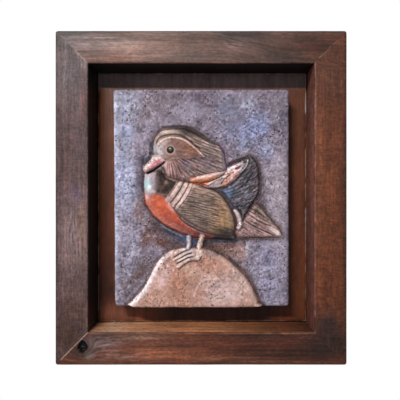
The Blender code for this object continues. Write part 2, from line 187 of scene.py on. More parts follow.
FACE_RIDGE = ((44.8, 160), (47.8, 164.2), (52.7, 166.8), (57.8, 168), (67.5, 167), (76.4, 162.2),
              (90.3, 149.4))
CROWN_SHADOW = ((50, 179), (60, 179.8), (70, 179.6), (79, 176.5), (90, 170.5), (95, 168))
CREST_END = ((108, 161), (110, 154), (110.9, 146), (110.9, 138))
EYE = (57.3, 155.8)
EYE_RADIUS = 3.3

# Painted blades of the sail: a line, its half width, its paint and how far it stands up
SAIL_BLADES = (
    (((101, 131), (112, 131.8)), 2.2, (206, 168, 162), 0.0),
    (((79, 125), (86.7, 125), (93, 125.8), (99.5, 127.4)), 3.0, (238, 152, 108), 0.0004),
    (((86, 124), (92, 124.2), (98, 126)), 2.4, (228, 140, 94), 0.0003),
    (((84, 128.4), (90, 129), (97, 130)), 1.2, (236, 194, 180), 0.0002),
    (((89.5, 120.7), (94.2, 120.9)), 0.8, (204, 112, 122), 0.0),
    (((97.1, 120.9), (103.8, 122.8), (108.5, 126.6)), 1.8, (138, 132, 142), 0.0),
    (((93.8, 121.8), (102.8, 127), (112.4, 130.4)), 0.8, (222, 204, 196), 0.0003),
    (((109.9, 123), (115.3, 128.6), (122, 134)), 2.1, (208, 156, 148), 0.0006),
    (((109.4, 122.4), (112.4, 125.4)), 1.6, (212, 146, 112), 0.0),
    (((107, 122), (111, 127.6), (117, 131.6)), 0.6, (110, 66, 60), -0.0002),
    (((103.7, 132.7), (113.3, 133.7), (124.7, 136)), 0.8, (212, 190, 184), 0.0003),
    (((114.7, 137), (121.9, 140.4), (128.3, 143.2)), 1.8, (210, 196, 204), 0.0007),
    (((122, 137.6), (126.6, 139.6)), 1.1, (128, 68, 90), -0.0003),
    (((127.6, 139), (130, 140.6)), 1.2, (158, 158, 164), 0.0),
    (((124.6, 132.9), (129.4, 137.2), (133, 141.4), (134, 146)), 0.8, (164, 166, 174), 0.0003),
)


def linear(red, green, blue):
    """A paint colour given as 0 to 255 on a screen, as the shader wants it."""
    values = (np.array((red, green, blue)) / 255.0 + 0.055) / 1.055
    return values**2.4


# Lines, outlines and noise on the tile

def curve_through(points, closed, steps=6):
    """A smooth line through the given points, as an array of x and y."""
    base = np.array(points, dtype=float)
    count = len(base)
    spans = count if closed else count - 1
    share = np.arange(steps)[:, None] / steps
    line = []
    for i in range(spans):
        if closed:
            a, b, c, d = (base[(i + k) % count] for k in (-1, 0, 1, 2))
        else:
            a, b, c, d = (base[min(max(i + k, 0), count - 1)] for k in (-1, 0, 1, 2))
        line.append(0.5 * (2 * b + (c - a) * share + (2 * a - 5 * b + 4 * c - d) * share**2
                           + (3 * b - a - 3 * c + d) * share**3))
    if not closed:
        line.append(base[-1:])
    return np.vstack(line)


def distance_to(spots, line, closed, margin=10.0):
    """Each spot's distance to a line, where it is near enough to matter."""
    distance = np.full(len(spots), np.inf)
    near = np.all((spots > line.min(0) - margin) & (spots < line.max(0) + margin), axis=1)
    places = spots[near]
    best = np.full(len(places), np.inf)
    last = len(line) if closed else len(line) - 1
    for i in range(last):
        a = line[i]
        step = line[(i + 1) % len(line)] - a
        share = np.clip((places - a) @ step / max(step @ step, 1e-12), 0.0, 1.0)
        best = np.minimum(best, np.hypot(*(places - a - share[:, None] * step).T))
    distance[near] = best
    return distance


def is_inside(spots, line):
    """Which spots a closed line holds, by counting its crossings to the right."""
    x, y = spots.T
    held = np.zeros(len(spots), dtype=bool)
    for i in range(len(line)):
        (ax, ay), (bx, by) = line[i - 1], line[i]
        if ay == by:
            continue
        crosses = (ay > y) != (by > y)
        held ^= crosses & (x < ax + (y - ay) * (bx - ax) / (by - ay))
    return held


def reach_in(spots, outline):
    """Distance into an outline: positive inside it and negative outside it, in squares."""
    line = curve_through(outline, True)
    distance = distance_to(spots, line, True)
    return np.where(is_inside(spots, line), distance, -distance)


def pillow(reach, roll):
    """A rounded rise from 0 at an outline to 1 at a distance of roll inside it."""
    share = np.clip(reach / roll, 0.0, 1.0)
    return 1.0 - (1.0 - share) ** 2


def swell(reach, roll, far):
    """A rise that is quick over its first stretch and goes on gently to the middle of the form."""
    return 0.68 * pillow(reach, roll) + 0.32 * pillow(reach, far)


def ridge(spots, line, width):
    distance = distance_to(spots, curve_through(line, False), False)
    return peak(distance, width)


def peak(value, width):
    """1 where the value is 0, falling away softly to both sides."""
    return np.exp(-((value / width) ** 2))


def step_up(low, high, value):
    share = np.clip((value - low) / (high - low), 0.0, 1.0)
    return share * share * (3.0 - 2.0 * share)


def lumps(spots, size, seed):
    """Smooth noise from -1 to 1, with lumps about size squares across."""
    cells = 128
    table = np.random.default_rng(seed).uniform(-1.0, 1.0, (cells, cells))
    place = spots / size + 50.0
    cell = np.floor(place).astype(int)
    share = place - cell
    share = share * share * (3.0 - 2.0 * share)
    i, j = (cell % cells).T
    k, m = (i + 1) % cells, (j + 1) % cells
    low = table[i, j] * (1 - share[:, 0]) + table[k, j] * share[:, 0]
    high = table[i, m] * (1 - share[:, 0]) + table[k, m] * share[:, 0]
    return low * (1 - share[:, 1]) + high * share[:, 1]


def cloud(spots, size, seed):
    """Noise in three sizes together."""
    whole = lumps(spots, size, seed) + 0.5 * lumps(spots, size / 2, seed + 1)
    return (whole + 0.25 * lumps(spots, size / 4, seed + 2)) / 1.4


# The tile's relief

def strokes(across, along, spacing, seed):
    """Combed lines: a wave across their run that wanders, swells and breaks off along it."""
    drift = np.column_stack((along / 16.0, across / 6.0))
    wander = 1.1 * lumps(drift, 1.0, seed)
    wave = np.cos(2 * np.pi * (across + wander) / spacing)
    broken = np.column_stack((along / 9.0, across / spacing))
    return wave * (0.62 + 0.38 * lumps(broken, 1.0, seed + 5))


def feather_lines(spots, reach):
    """The combed feathers: a broad wave with its depth, and places for finer lines with their strength."""
    u, v = spots.T
    turn = np.degrees(np.arctan2(v - 153.0, u - 56.0))
    from_eye = np.hypot(v - 153.0, u - 56.0)
    behind = step_up(70, 80, u + 0.35 * (v - 150)) * step_up(0.8, 2.5, reach["head"])
    off_sail = 1 - step_up(0, 1.5, reach["sail"])
    near_face = step_up(0.3, 2.0, reach["face"]) * step_up(5, 8, from_eye)
    rim = 1 - 0.75 * step_up(108, 116, u + 0.30 * (100 - v))
    areas = (
        (v + 0.16 * (u - 77) + 0.0016 * (u - 77) ** 2, u, step_up(0.8, 2.5, reach["wing"]) * rim,
         0.00012, 2.4),
        (v + 0.44 * (u - 76) - 0.0016 * (u - 84) ** 2, u, behind * off_sail, 0.00014, 3.3),
        (turn * 0.32, from_eye, 0.6 * near_face, 0.00004, 3.0),
        (turn * 0.30, from_eye, step_up(0.5, 2.0, reach["cheek"]) * step_up(7, 11, from_eye),
         0.00012, 3.1),
        (v + 0.50 * (u - 125) + 0.004 * (v - 70) * (u - 125), u, 0.7 * step_up(0.6, 2.0, reach["tail"]),
         0.00009, 5.2),
        (v - 0.30 * (u - 112) - 0.006 * (v - 108) * (u - 112), u,
         step_up(0.8, 2.0, reach["fan"]) * off_sail, 0.00014, 3.2),
        (v - 0.24 * (u - 76) - 0.003 * (u - 76) ** 2, u, 0.35 * step_up(0.6, 1.6, reach["sail"]),
         0.00003, 3.6),
    )
    wave, depth, strength = np.zeros((3, len(spots)))
    comb = np.zeros((len(spots), 3))
    for number, (across, along, share, rise, spacing) in enumerate(areas):
        share = np.nan_to_num(share)
        wave = wave * (1 - share) + strokes(across, along, spacing, 11 + 12 * number) * share
        depth = depth * (1 - share) + rise * share
        strength = np.maximum(strength * (1 - share), share)
        here = share > 0.02
        comb[here] = np.column_stack((across, along / 10.0, np.full(len(spots), 9.0 * number)))[here]
    return wave, depth, comb, strength


def relief(spots, reach):
    """Height of the carving above the tile's ground, in metres, at spots given in squares."""
    masses = (("rock", ROCK_RISE, 6.0, 46.0), ("body", BODY_RISE, 7.0, 26.0),
              ("head", HEAD_RISE, 6.0, 22.0), ("beak", BEAK_RISE, 3.5, 6.0),
              ("fan", FAN_RISE, 4.0, 12.0), ("tail", TAIL_RISE, 4.0, 12.0))
    height = np.zeros(len(spots))
    rim = np.full(len(spots), np.inf)
    for name, rise, roll, far in masses:
        height = np.maximum(height, rise * swell(reach[name], roll, far))
        rim = np.minimum(rim, np.where(reach[name] > 3.0, np.inf, np.abs(reach[name])))
    height -= GROOVE_DEPTH * np.exp(-((rim * SQUARE / GROOVE_WIDTH) ** 2))

    forms = (("belly", -0.0004, 6.0), ("wing", 0.0010, 3.0), ("sail", 0.0013, 3.0),
             ("face", 0.0005, 2.5), ("cheek", 0.0006, 3.0), ("small_feather", 0.0014, 2.0),
             ("throat", -0.0008, 4.0))
    for name, rise, roll in forms:
        height += rise * pillow(reach[name], roll)
    for line in COLLAR:
        height += 0.0006 * ridge(spots, line, 1.7)
    for line in COLLAR_CUTS:
        height -= 0.0005 * ridge(spots, line, 0.7)
    for line in LEGS:
        height = np.maximum(height, LEG_RISE * ridge(spots, line, 2.3))
    for line in TOES:
        height += 0.0009 * ridge(spots, line, 1.4)
    for line in TOE_CUTS:
        height -= 0.0006 * ridge(spots, line, 0.8)
    height -= 0.0014 * ridge(spots, MOUTH, 1.0)
    height += 0.0005 * ridge(spots, FACE_RIDGE, 1.0)
    for line, width, _, rise in SAIL_BLADES:
        height += rise * ridge(spots, line, width)
    for line in TAIL_CUTS + (CROWN_CUT, BELLY_CUT[5:]):
        height -= CUT_DEPTH * ridge(spots, line, 0.9)
    for line in FAN_CUTS + SAIL_CUTS + CREST_CUTS + WING_CUTS:
        height -= 0.4 * CUT_DEPTH * ridge(spots, line, 0.8)
    eye_gap = np.hypot(*(spots - np.array(EYE)).T)
    height += EYE_RISE * np.sqrt(np.clip(1.0 - (eye_gap / EYE_RADIUS) ** 2, 0.0, 1.0))
    height -= 0.0004 * peak(eye_gap - EYE_RADIUS - 0.6, 0.8)
    return height


def hand_work(spots, reach, wave, depth):
    """What the maker's tools and the coarse clay leave on every surface."""
    rough = 0.00016 * cloud(spots, 8.0, 71) + 0.00010 * lumps(spots, 2.6, 77)
    pits = step_up(0.45, 0.75, lumps(spots, 2.3, 83)) * step_up(-0.3, 0.4, lumps(spots, 11.0, 89))
    calm = 1.0 - 0.6 * step_up(0.0, 2.0, np.maximum(reach["body"], reach["head"]))
    return wave * depth + rough - calm * 0.00034 * pits


# The tile's paint, with painted shade and painted highlights among it. A wash is a soft patch: its place,
# its two half widths, its turn, its paint and, where the washes of a table differ in it, its strength. Each
# is given in squares and degrees.

GROUND_WASHES = (
    (12, 203, 15, 14, 0, (160, 162, 184), 0.9), (11, 176, 11, 18, 0, (160, 168, 200), 0.85),
    (10, 126, 12, 34, 0, (172, 180, 214), 0.95), (13, 62, 10, 26, 0, (166, 164, 188), 0.85),
    (14, 20, 8, 8, 0, (118, 102, 108), 0.8), (31, 160, 12, 14, 0, (140, 128, 146), 0.7),
    (50, 204, 18, 12, 0, (120, 104, 114), 0.9), (34, 190, 10, 10, 20, (142, 128, 140), 0.6),
    (73, 196, 12, 8, 0, (150, 148, 172), 0.8), (91, 208, 14, 9, 0, (84, 70, 90), 1.0),
    (112, 199, 14, 12, 0, (108, 108, 130), 0.9), (134, 201, 9, 8, 0, (158, 160, 184), 0.8),
    (157, 203, 13, 12, 0, (112, 100, 116), 0.9), (123, 178, 15, 13, 0, (130, 136, 172), 0.8),
    (142, 178, 13, 18, -15, (138, 148, 192), 0.95), (106, 170, 10, 7, -25, (138, 136, 168), 0.9),
    (168, 187, 8, 13, 0, (100, 92, 108), 0.9), (152, 156, 10, 10, 0, (140, 144, 178), 0.7),
    # The patch at 145.5, 122 is painted shadow on the ground along the fan's right edge.
    (158, 116, 10, 26, 0, (168, 156, 172), 0.85), (145.5, 122, 4.5, 24, 4, (84, 60, 68), 0.9),
    (158, 82, 7, 8, 0, (120, 108, 122), 0.7), (26, 124, 3.2, 22, 0, (90, 80, 104), 0.9),
    (26, 94, 7, 14, -10, (120, 92, 92), 0.85), (36, 75, 8, 19, -24, (112, 78, 74), 1.0),
    (48, 65, 10, 6, -10, (104, 62, 58), 1.0), (28, 44, 10, 10, 30, (128, 116, 130), 0.7),
    (26, 34, 26, 5.5, 53, (84, 62, 68), 0.9), (116, 60.5, 18, 4.2, -4, (104, 64, 50), 1.0),
    (127, 53, 8, 8, 0, (164, 124, 112), 0.85), (133, 57, 1.6, 9, 0, (168, 174, 192), 0.7),
    (17, 130, 5, 10, 0, (170, 176, 206), 0.8), (130, 161, 8, 6, -20, (140, 148, 180), 0.8),
    (154, 36, 16, 32, 0, (154, 150, 178), 0.9), (154, 50, 8, 4, -10, (108, 100, 130), 0.6),
    (162, 63, 9, 4, 0, (164, 158, 176), 0.7), (129, 33, 4, 26, 38, (94, 72, 80), 0.9),
)
LATE_WASHES = (
    (166, 110, 9, 46, 0, (160, 148, 158)), (132, 34, 15, 4, -56, (92, 72, 72)),
    (26, 34, 12, 6, 45, (90, 70, 64)),
    (112, 195, 9, 8, 0, (122, 122, 148)), (73, 198, 9, 8, 0, (136, 122, 134)),
)
ROCK_WASHES = (
    (66, 20, 10, 22, 18, (176, 122, 100), 0.85), (108, 17, 26, 15, 0, (206, 178, 176), 0.95),
    (50, 30, 6, 14, -32, (206, 172, 168), 0.8),
    (92, 44, 16, 6, -10, (172, 122, 104), 0.8), (97, 55, 10, 3.4, -10, (104, 84, 88), 0.95),
    (124, 32, 5, 14, 34, (206, 176, 166), 0.7), (76, 38, 8, 5, -30, (206, 170, 154), 0.7),
    (84, 14, 6, 12, 20, (166, 116, 96), 0.6), (132, 12, 6, 12, 34, (176, 146, 136), 0.6),
    (72, 47, 12, 3.4, 24, (206, 160, 142), 0.7),
)


def paint(spots, reach, wave, depth, hollow):
    """The colour at each spot: thin washes laid over each other, thickest where the forms are, with painted
    shade and painted highlights among them.
    """
    u, v = spots.T
    colour = np.zeros((len(spots), 3))

    def lay(paint_colour, share):
        nonlocal colour
        share = np.clip(np.nan_to_num(share), 0.0, 1.0)[:, None]
        colour = colour * (1 - share) + linear(*paint_colour) * share

    def around(x, y, wide, high, turn=0.0):
        """A patch with soft edges, 1 in its middle."""
        c, s = math.cos(math.radians(turn)), math.sin(math.radians(turn))
        a = ((u - x) * c + (v - y) * s) / wide
        b = ((v - y) * c - (u - x) * s) / high
        return np.exp(-((a**2 + b**2) ** 1.6))

    def dabs(region, *rows):
        """Soft patches laid on a region one after the other: paint, strength, place, half widths, turn."""
        for tone, share, *patch in rows:
            lay(tone, region * share * around(*patch))

    def washes(region, rows, brightness):
        for *patch, tone, share in rows:
            lay(np.array(tone) * brightness, region * share * around(*patch))

    def brushed(tone, share, marks, seed, high=0.6):
        """Paint in short parallel marks."""
        lay(tone, share * step_up(0.3, high, lumps(marks, 1.0, seed)))

    def line(tone, points, width, share=1.0):
        lay(tone, share * step_up(0.2, 0.75, ridge(spots, points, width)))

    wobble = 0.9 * cloud(spots, 5.0, 101)
    patchy = 0.5 + 0.5 * cloud(spots, 22.0, 113)
    ragged = 0.95 + 0.45 * cloud(spots, 8.0, 127)
    fine = 0.5 + 0.5 * cloud(spots, 5.0, 131)

    def inside(name, low=-0.6, high=0.9):
        return step_up(low, high, reach[name] + 0.5 * wobble)

    # Ground
    everywhere = np.ones(len(spots))
    lay((124, 114, 130), everywhere)
    lay((140, 132, 152), 0.7 * step_up(0.45, 0.8, patchy))
    lay((96, 82, 94), 0.6 * step_up(0.5, 0.15, patchy))
    washes(ragged, GROUND_WASHES, 0.94)
    lay((172, 170, 194), 0.5 * step_up(0.6, 0.85, fine) * (0.3 + 0.7 * peak(u, 26.0)))
    lay((70, 62, 76), 0.6 * step_up(0.38, 0.16, fine))
    for lean, seed in ((0.7, 151), (-0.5, 153)):
        slanted = np.column_stack(((u + lean * v) / 6.0, (v - lean * u) / 1.5))
        scratched = step_up(0.50, 0.72, lumps(slanted, 1.0, seed))
        worn = 0.25 + 0.75 * around(124, 176, 44, 26) + 0.4 * around(12, 60, 20, 40)
        lay((64, 60, 80), 0.75 * scratched * worn)
    specks = lumps(spots, 1.5, 163)
    speckled = 1 - 0.8 * around(108, 54, 26, 12) - 0.5 * around(50, 62, 26, 14)
    speckled *= 0.35 + 0.65 * step_up(185, 150, v)
    lay((72, 62, 74), 0.5 * speckled * step_up(0.35, 0.65, specks))
    lay((192, 186, 200), 0.35 * speckled * step_up(-0.35, -0.65, specks))
    # A painted highlight along the tile's left edge, and painted shade along its right edge.
    rim_light = 0.25 + 0.65 * (around(0, 185, 14, 34) + around(0, 70, 14, 36))
    lay((186, 192, 214), rim_light * peak(u, 3.5))
    lay((96, 88, 106), 0.5 * peak(174.8 - u, 3.2))
    # Round the figure: a brown wash, and a dark line just outside its outline that is painted shade. Both
    # are made stronger to the right, away from the light, as painted shade.
    near = np.minimum.reduce([-np.nan_to_num(reach[name], neginf=-99.0)
                              for name in ("rock", "body", "head", "beak", "fan", "tail")])
    shady = 0.6 + 0.22 * step_up(60, 100, u)
    lay((96, 76, 78), 0.5 * shady * ragged * peak(np.clip(near, 0, 99), 5.0))
    lay((46, 34, 38), peak(near - 1.0, 1.4) * 0.9 * shady * (0.75 + 0.3 * ragged))
    # Painted shadow on the ground above the crown: a patch and a line.
    dabs(everywhere, ((44, 30, 30), 0.9, 78, 178, 6, 2.2, -14))
    line((46, 32, 32), CROWN_SHADOW, 1.6, 0.9)
    sail_shadow = ((113.3, 141.6), (118, 143.4), (123, 145.2), (128, 147.2), (132.5, 149.4))
    line((40, 26, 34), sail_shadow, 2.2, 0.95)
    # The first patch is painted shadow above the sail's upper edge, going on from the line above; the
    # second is a red spot in it.
    dabs(everywhere, ((58, 44, 52), 0.75, 116, 140.5, 7, 2.6, 22),
         ((120, 44, 64), 0.8, 119, 146, 2.6, 1.2, 20),
         ((158, 150, 168), 0.6, 105, 170, 5, 4, -30))
    for *patch, tone in LATE_WASHES:
        lay(tone, 0.55 * around(*patch))
    dabs(everywhere, ((112, 104, 120), 0.6, 12, 62, 8, 9))
    line((42, 42, 64), ((29.4, 142.6), (33.2, 147), (37.6, 151.6), (37.8, 157), (37.6, 163)), 2.0, 0.85)
    # Painted shade: a dark line on the ground under the body.
    line((44, 38, 48), ((98, 66), (110, 65.6), (122, 66)), 2.2, 0.9)
    # Painted shadow on the ground under the belly: a dark band, a pale blue line in it, and a darker line
    # further out.
    belly_gap = -reach["belly"]
    beneath = step_up(38, 46, u) * step_up(76, 66, u) * step_up(100, 92, v)
    lay((52, 44, 56), 0.9 * ragged * beneath * step_up(10, 6, belly_gap))
    lay((120, 134, 156), 0.75 * ragged * beneath * peak(belly_gap - 2.4, 0.8))
    lay((34, 30, 38), 0.8 * beneath * peak(belly_gap - 4.0, 1.0))
    line((58, 46, 54), ((28.6, 141), (28.0, 129), (28.4, 118)), 1.6, 0.8)
    strip = step_up(21, 23, u + 0.6 * wobble) * step_up(33, 30, u) * step_up(108, 120, v)
    strip *= step_up(158, 148, v)
    lay((90, 78, 94), 0.5 * strip)
    line((50, 44, 62), ((29.8, 150), (28.9, 140), (28.9, 128), (29.2, 116)), 1.8, 0.75)
    # Painted shadow under the body, right of the right leg.
    dabs(everywhere, ((34, 28, 34), 0.95, 95, 62.5, 9, 3.6, -14))
    dabs(ragged, ((86, 54, 50), 0.9, 50, 63, 13, 4.6, -14), ((52, 40, 44), 0.8, 61, 64, 7, 3.6, -12))
    dabs(everywhere, ((74, 50, 54), 0.8, 44, 76, 10, 5, -40))
    # Painted shadow right of the right leg.
    line((24, 18, 20), ((92, 66.5), (90.8, 61), (89.4, 56), (88, 51)), 2.6, 0.95)
    dabs(ragged, ((84, 54, 42), 0.85, 106, 57.6, 15, 3.4, -16))
    # The dark line at 120, 44 is painted shade along the rock's upper right edge.
    dabs(everywhere, ((136, 100, 84), 0.6, 116, 54, 12, 5, -20), ((50, 38, 44), 0.9, 120, 44, 16, 1.6, -46))

    # Rock
    rock = inside("rock")
    lay((172, 132, 118), rock)
    washes(rock * ragged, ROCK_WASHES, 0.96)
    lay((200, 170, 164), rock * 0.3 * step_up(0.55, 0.8, patchy))
    lay((150, 108, 92), rock * 0.35 * step_up(0.45, 0.2, patchy))
    line((206, 182, 178), ((80, 12), (84, 22), (90, 27.5), (104, 29)), 1.0, 0.5)
    # Pale paint along the rock's left rim, which also serves as a painted highlight where the light falls
    # on it.
    left_rim = peak(reach["rock"] - 2.6, 2.8) * step_up(70, 40, u)
    lay((236, 226, 230), rock * left_rim)
    lay((112, 82, 74), 0.7 * rock * peak(reach["rock"], 2.4) * step_up(70, 90, u))

    # Tail, back and small feather
    tail = inside("tail")
    lay((124, 94, 90), tail)
    dabs(tail, ((92, 72, 66), 0.7, 146, 92, 9, 5, -45), ((90, 72, 58), 1, 150, 91, 12, 5.5, -45),
         ((188, 156, 154), 0.9, 140, 88.6, 10, 2.8, -32), ((150, 120, 124), 0.7, 138, 77, 13, 4, -14))
    for points in TAIL_CUTS:
        line((70, 53, 52), points, 0.7, 0.7)
    marks = np.column_stack(((u - 0.4 * v) / 5.0, v + 0.4 * u))
    brushed((170, 140, 142), tail * 0.45, marks, 167)
    brushed((66, 48, 46), tail * 0.6, marks + 23.3, 169)
    dabs(tail, ((196, 178, 174), 1.1, 161, 75, 8, 2.6, -38))
    fan = inside("fan")
    lay((58, 55, 67), fan)
    dabs(fan, ((90, 90, 104), 0.8, 129, 112, 10, 10))
    lay((66, 98, 134), fan * (around(113, 113, 8, 5, 30) + 0.6 * around(118, 122, 9, 3, 40)))
    dabs(fan, ((28, 30, 44), 0.95, 130, 135, 8, 11, 30), ((26, 24, 32), 0.9, 137, 142, 5, 7))
    line((34, 32, 42), ((114, 118.5), (121, 124.5), (128, 131), (134, 140)), 3.0, 0.85)
    line((104, 124, 156), ((109.5, 113.4), (114.6, 108.4), (119.4, 102), (122.6, 97.6)), 1.1, 0.7)
    dabs(fan, ((44, 36, 46), 0.7, 134, 101, 7, 8, 50), ((60, 46, 54), 0.8, 142, 126, 4, 20, -5))
    marks = np.column_stack(((u + v) / 5.0, v - u))
    brushed((140, 136, 150), fan * 0.6 * (1 - 0.8 * around(128, 136, 9, 10)), marks, 157, 0.62)
    brushed((30, 26, 36), fan * 0.7, marks + 31.7, 159)

    # Body
    body = inside("body")
    lay((82, 62, 58), body)
    dabs(body, ((22, 20, 30), 1, 109, 69.5, 19, 4.2))
    wing = inside("wing")
    lay((106, 88, 78), wing)
    lay((144, 110, 76), wing * step_up(92, 116, u + 0.25 * (110 - v)) * 0.9)
    # The darkest patch, at the wing's lower right, is painted shade.
    dabs(wing, ((140, 110, 94), 0.8, 88, 117, 12, 6, -10), ((36, 27, 20), 1, 112, 75.4, 11, 4.6, -4),
         ((84, 70, 62), 0.6, 92, 84, 16, 4, -20))
    belly = inside("belly")
    lay((182, 80, 52), belly)
    dabs(belly, ((180, 82, 52), 1, 43, 101, 10, 7, -50))
    lay((138, 56, 44), belly * (around(69, 79, 11, 5, -30) * 0.95 + 0.6 * around(56, 86, 10, 3, -40)))
    lay((134, 60, 52), belly * 0.5 * step_up(0.42, 0.2, fine))
    lay((226, 170, 166), belly * (around(33, 111.5, 2.4, 5, 14) + 0.8 * around(59, 101, 4, 7, 30)))
    dabs(belly, ((80, 20, 20), 1, 88, 72, 15, 5, -10), ((196, 120, 112), 0.7, 88, 75.2, 9, 1.3, -20))
    blots = 0.5 + 0.4 * lumps(spots, 4.4, 139) + 0.22 * lumps(spots, 1.9, 143)
    throat = inside("throat")
    lay((80, 54, 46), throat)
    dabs(throat, ((104, 66, 50), 0.8, 60, 118, 6, 8))
    lay((60, 36, 30), throat * (0.9 * around(52, 124, 10, 10) + around(51, 134, 6, 7)))
    lay((134, 106, 98), throat * step_up(0.62, 0.82, blots) * 0.6)
    dabs(ragged, ((140, 114, 106), 0.8, 64, 127, 6, 3.4, 20))
    lay((26, 13, 13), throat * 0.95 * step_up(0.46, 0.30, blots))
    dabs(body, ((154, 144, 152), 1.2, 37, 124, 6, 13), ((178, 190, 200), 1, 34, 122, 4, 9),
         ((150, 196, 194), 1.1, 34, 121.6, 2.2, 4.4))
    lay((214, 228, 234), around(36, 119, 2.2, 6) * body * step_up(0.4, 0.7, blots))
    lay((224, 200, 198), around(37, 115.2, 6, 1.8, -8) * body * step_up(0.2, 0.6, blots))
    line((66, 50, 50), BELLY_CUT[6:], 1.2, 0.8)
    nape = np.maximum.reduce([ridge(spots, points, 3.4) for points in COLLAR])
    lay((176, 146, 140), body * step_up(0.3, 0.7, nape) * step_up(98, 106, v))
    collar = np.maximum.reduce([ridge(spots, points, 2.2) for points in COLLAR])
    lay((204, 178, 172), step_up(0.3, 0.9, collar) * (0.55 + 0.45 * ragged))
    lay((150, 118, 110), body * step_up(0.2, 0.6, collar) * 0.8 * step_up(0.62, 0.78, blots))
    for points in COLLAR_CUTS:
        line((112, 86, 80), points, 0.5, 0.7)
    line((84, 58, 52), ((65.8, 126), (62.6, 121), (59.4, 116), (55.6, 110.4)), 0.7, 0.7)
    dabs(belly, ((214, 142, 122), 0.7, 60, 102.5, 5, 3, 60))

    # Head
    head = inside("head")
    lay((116, 98, 94), head)
    dabs(head, ((104, 84, 70), 0.8, 86, 166, 10, 5, -30))
    lay((138, 116, 106), head * step_up(68, 58, u))
    # On the crown: a pale patch at the front that is a painted highlight, a dark patch at the upper right
    # that is painted shadow, and the grey forehead.
    dabs(head, ((178, 160, 146), 1, 54, 175, 8, 2.8, 8), ((38, 24, 17), 1, 75, 175, 14, 4.4, -16),
         ((160, 160, 170), 1, 41.5, 157, 3, 7, 10))
    cheek = inside("cheek")
    lay((130, 98, 96), cheek)
    dabs(cheek, ((148, 112, 108), 0.8, 58, 141, 6, 8), ((108, 90, 100), 0.9, 74, 143, 7, 8),
         ((98, 88, 88), 0.8, 76, 136, 4.6, 6, 10))
    face = inside("face")
    lay((118, 88, 82), face)
    lay((182, 174, 178), face * step_up(55, 45, u))
    dabs(face, ((176, 156, 152), 0.7, 51, 163.5, 6, 3.6, 20))
    dabs(head, ((124, 82, 66), 0.95, 77, 157, 11, 7, -24), ((104, 84, 98), 0.6, 94, 143, 11, 7, -20))
    line((84, 66, 62), CROWN_CUT, 1.3, 0.75)
    line((204, 170, 160), FACE_RIDGE, 0.8, 0.8)
    line((122, 106, 124), CREST_END, 2.8, 0.95)
    line((62, 48, 58), ((105.6, 161), (107.4, 154), (108.2, 146), (108.2, 138)), 0.8, 0.7)
    beak = inside("beak")
    lay((200, 182, 180), beak)
    pink = step_up(0.2, 0.75, ridge(spots, ((37.6, 138.6), (43, 142.4), (48.4, 145.4)), 2.6))
    lay((198, 98, 114), pink * (0.55 + 0.4 * step_up(0.3, 0.7, fine)))
    dabs(everywhere, ((172, 76, 96), 0.85, 35.8, 135.9, 4, 1.9, 34),
         ((118, 40, 58), 0.9, 34, 134.4, 3.2, 1.3, 24))
    line((40, 18, 24), MOUTH, 1.3)

    # Sail
    lay((184, 150, 144), inside("sail"))
    for points, width, tone, _ in SAIL_BLADES:
        line(tone, points, 1.15 * width)
    line((50, 40, 46), ((86, 119.4), (97, 117.6), (105, 118.4), (111, 119.6)), 1.2, 0.9)
    line((52, 40, 46), ((118.6, 97), (121.2, 89.5), (122, 82), (122, 77)), 1.2, 0.9)
    line((52, 40, 46), ((124.4, 96), (128, 90), (129, 84), (127.6, 79), (125, 76)), 1.2, 0.9)
    lay((186, 160, 166), inside("small_feather", -0.3, 0.6))
    line((244, 234, 236), ((120.6, 96), (123, 94.4), (125.2, 90.4), (126.2, 85.6), (126, 81)), 1.1)
    line((240, 228, 230), ((125.8, 79.6), (124.6, 78.6), (123.2, 79)), 1.1)

    # Legs and feet
    lay((40, 62, 98), 0.95 * around(80.5, 63.5, 2.6, 5) + 0.8 * around(69, 68, 4, 2.6))
    dabs(everywhere, ((158, 148, 154), 0.8, 73, 53, 9, 5, 20))
    for points in TOES:
        line((196, 176, 168), points, 1.4, 0.75)
    for points in TOE_CUTS:
        line((70, 56, 60), points, 0.8, 0.7)
    # Painted shadow under the lowest toe.
    line((60, 42, 40), ((87.4, 50.6), (84.6, 46.6), (77, 45.8), (71, 43), (64.6, 37.6)), 1.0, 0.8)
    lay((156, 162, 180), step_up(0.3, 0.7, ridge(spots, LEGS[0], 2.9)))
    lay((186, 166, 168), 0.8 * step_up(0.3, 0.7, ridge(spots, LEGS[0], 2.5)) * step_up(75, 76.4, u))
    lay((206, 184, 174), step_up(0.3, 0.7, ridge(spots, LEGS[1], 3.0)))
    line((52, 42, 54), ((78, 68), (77.6, 60)), 0.9, 0.8)

    # Dark wash left in every hollow, and dry paint that catches on every ridge; these also serve as painted
    # shade in the hollows and painted highlight on the ridges
    combed = step_up(0.00005, 0.0002, depth)
    low = np.clip(0.95 * hollow + 0.45 * combed * np.clip(-wave, 0, 1), 0, 0.92)[:, None]
    kept_dark = np.clip(around(104, 72.6, 26, 6) + around(75, 175, 14, 4.6, -16) + throat + 0.6 * fan, 0, 1)
    high = np.clip(-0.9 * hollow + 0.30 * combed * np.clip(wave, 0, 1), 0, 0.8) * (1 - 0.85 * kept_dark)
    high = high[:, None]
    colour = colour * (1 - low) + colour * linear(130, 100, 98) * low
    colour = colour * (1 - 0.4 * high) + linear(222, 204, 200) * 0.4 * high

    # Eye
    eye_gap = np.hypot(u - EYE[0], v - EYE[1])
    lay((190, 164, 152), 0.7 * peak(eye_gap - EYE_RADIUS - 0.9, 0.7))
    lay((14, 11, 10), step_up(EYE_RADIUS + 0.5, EYE_RADIUS - 0.3, eye_gap))
    dabs(everywhere, ((84, 80, 62), 0.8, EYE[0] + 0.4, EYE[1] + 0.2, 1.6, 1.6))
    return colour


# The tile's mesh

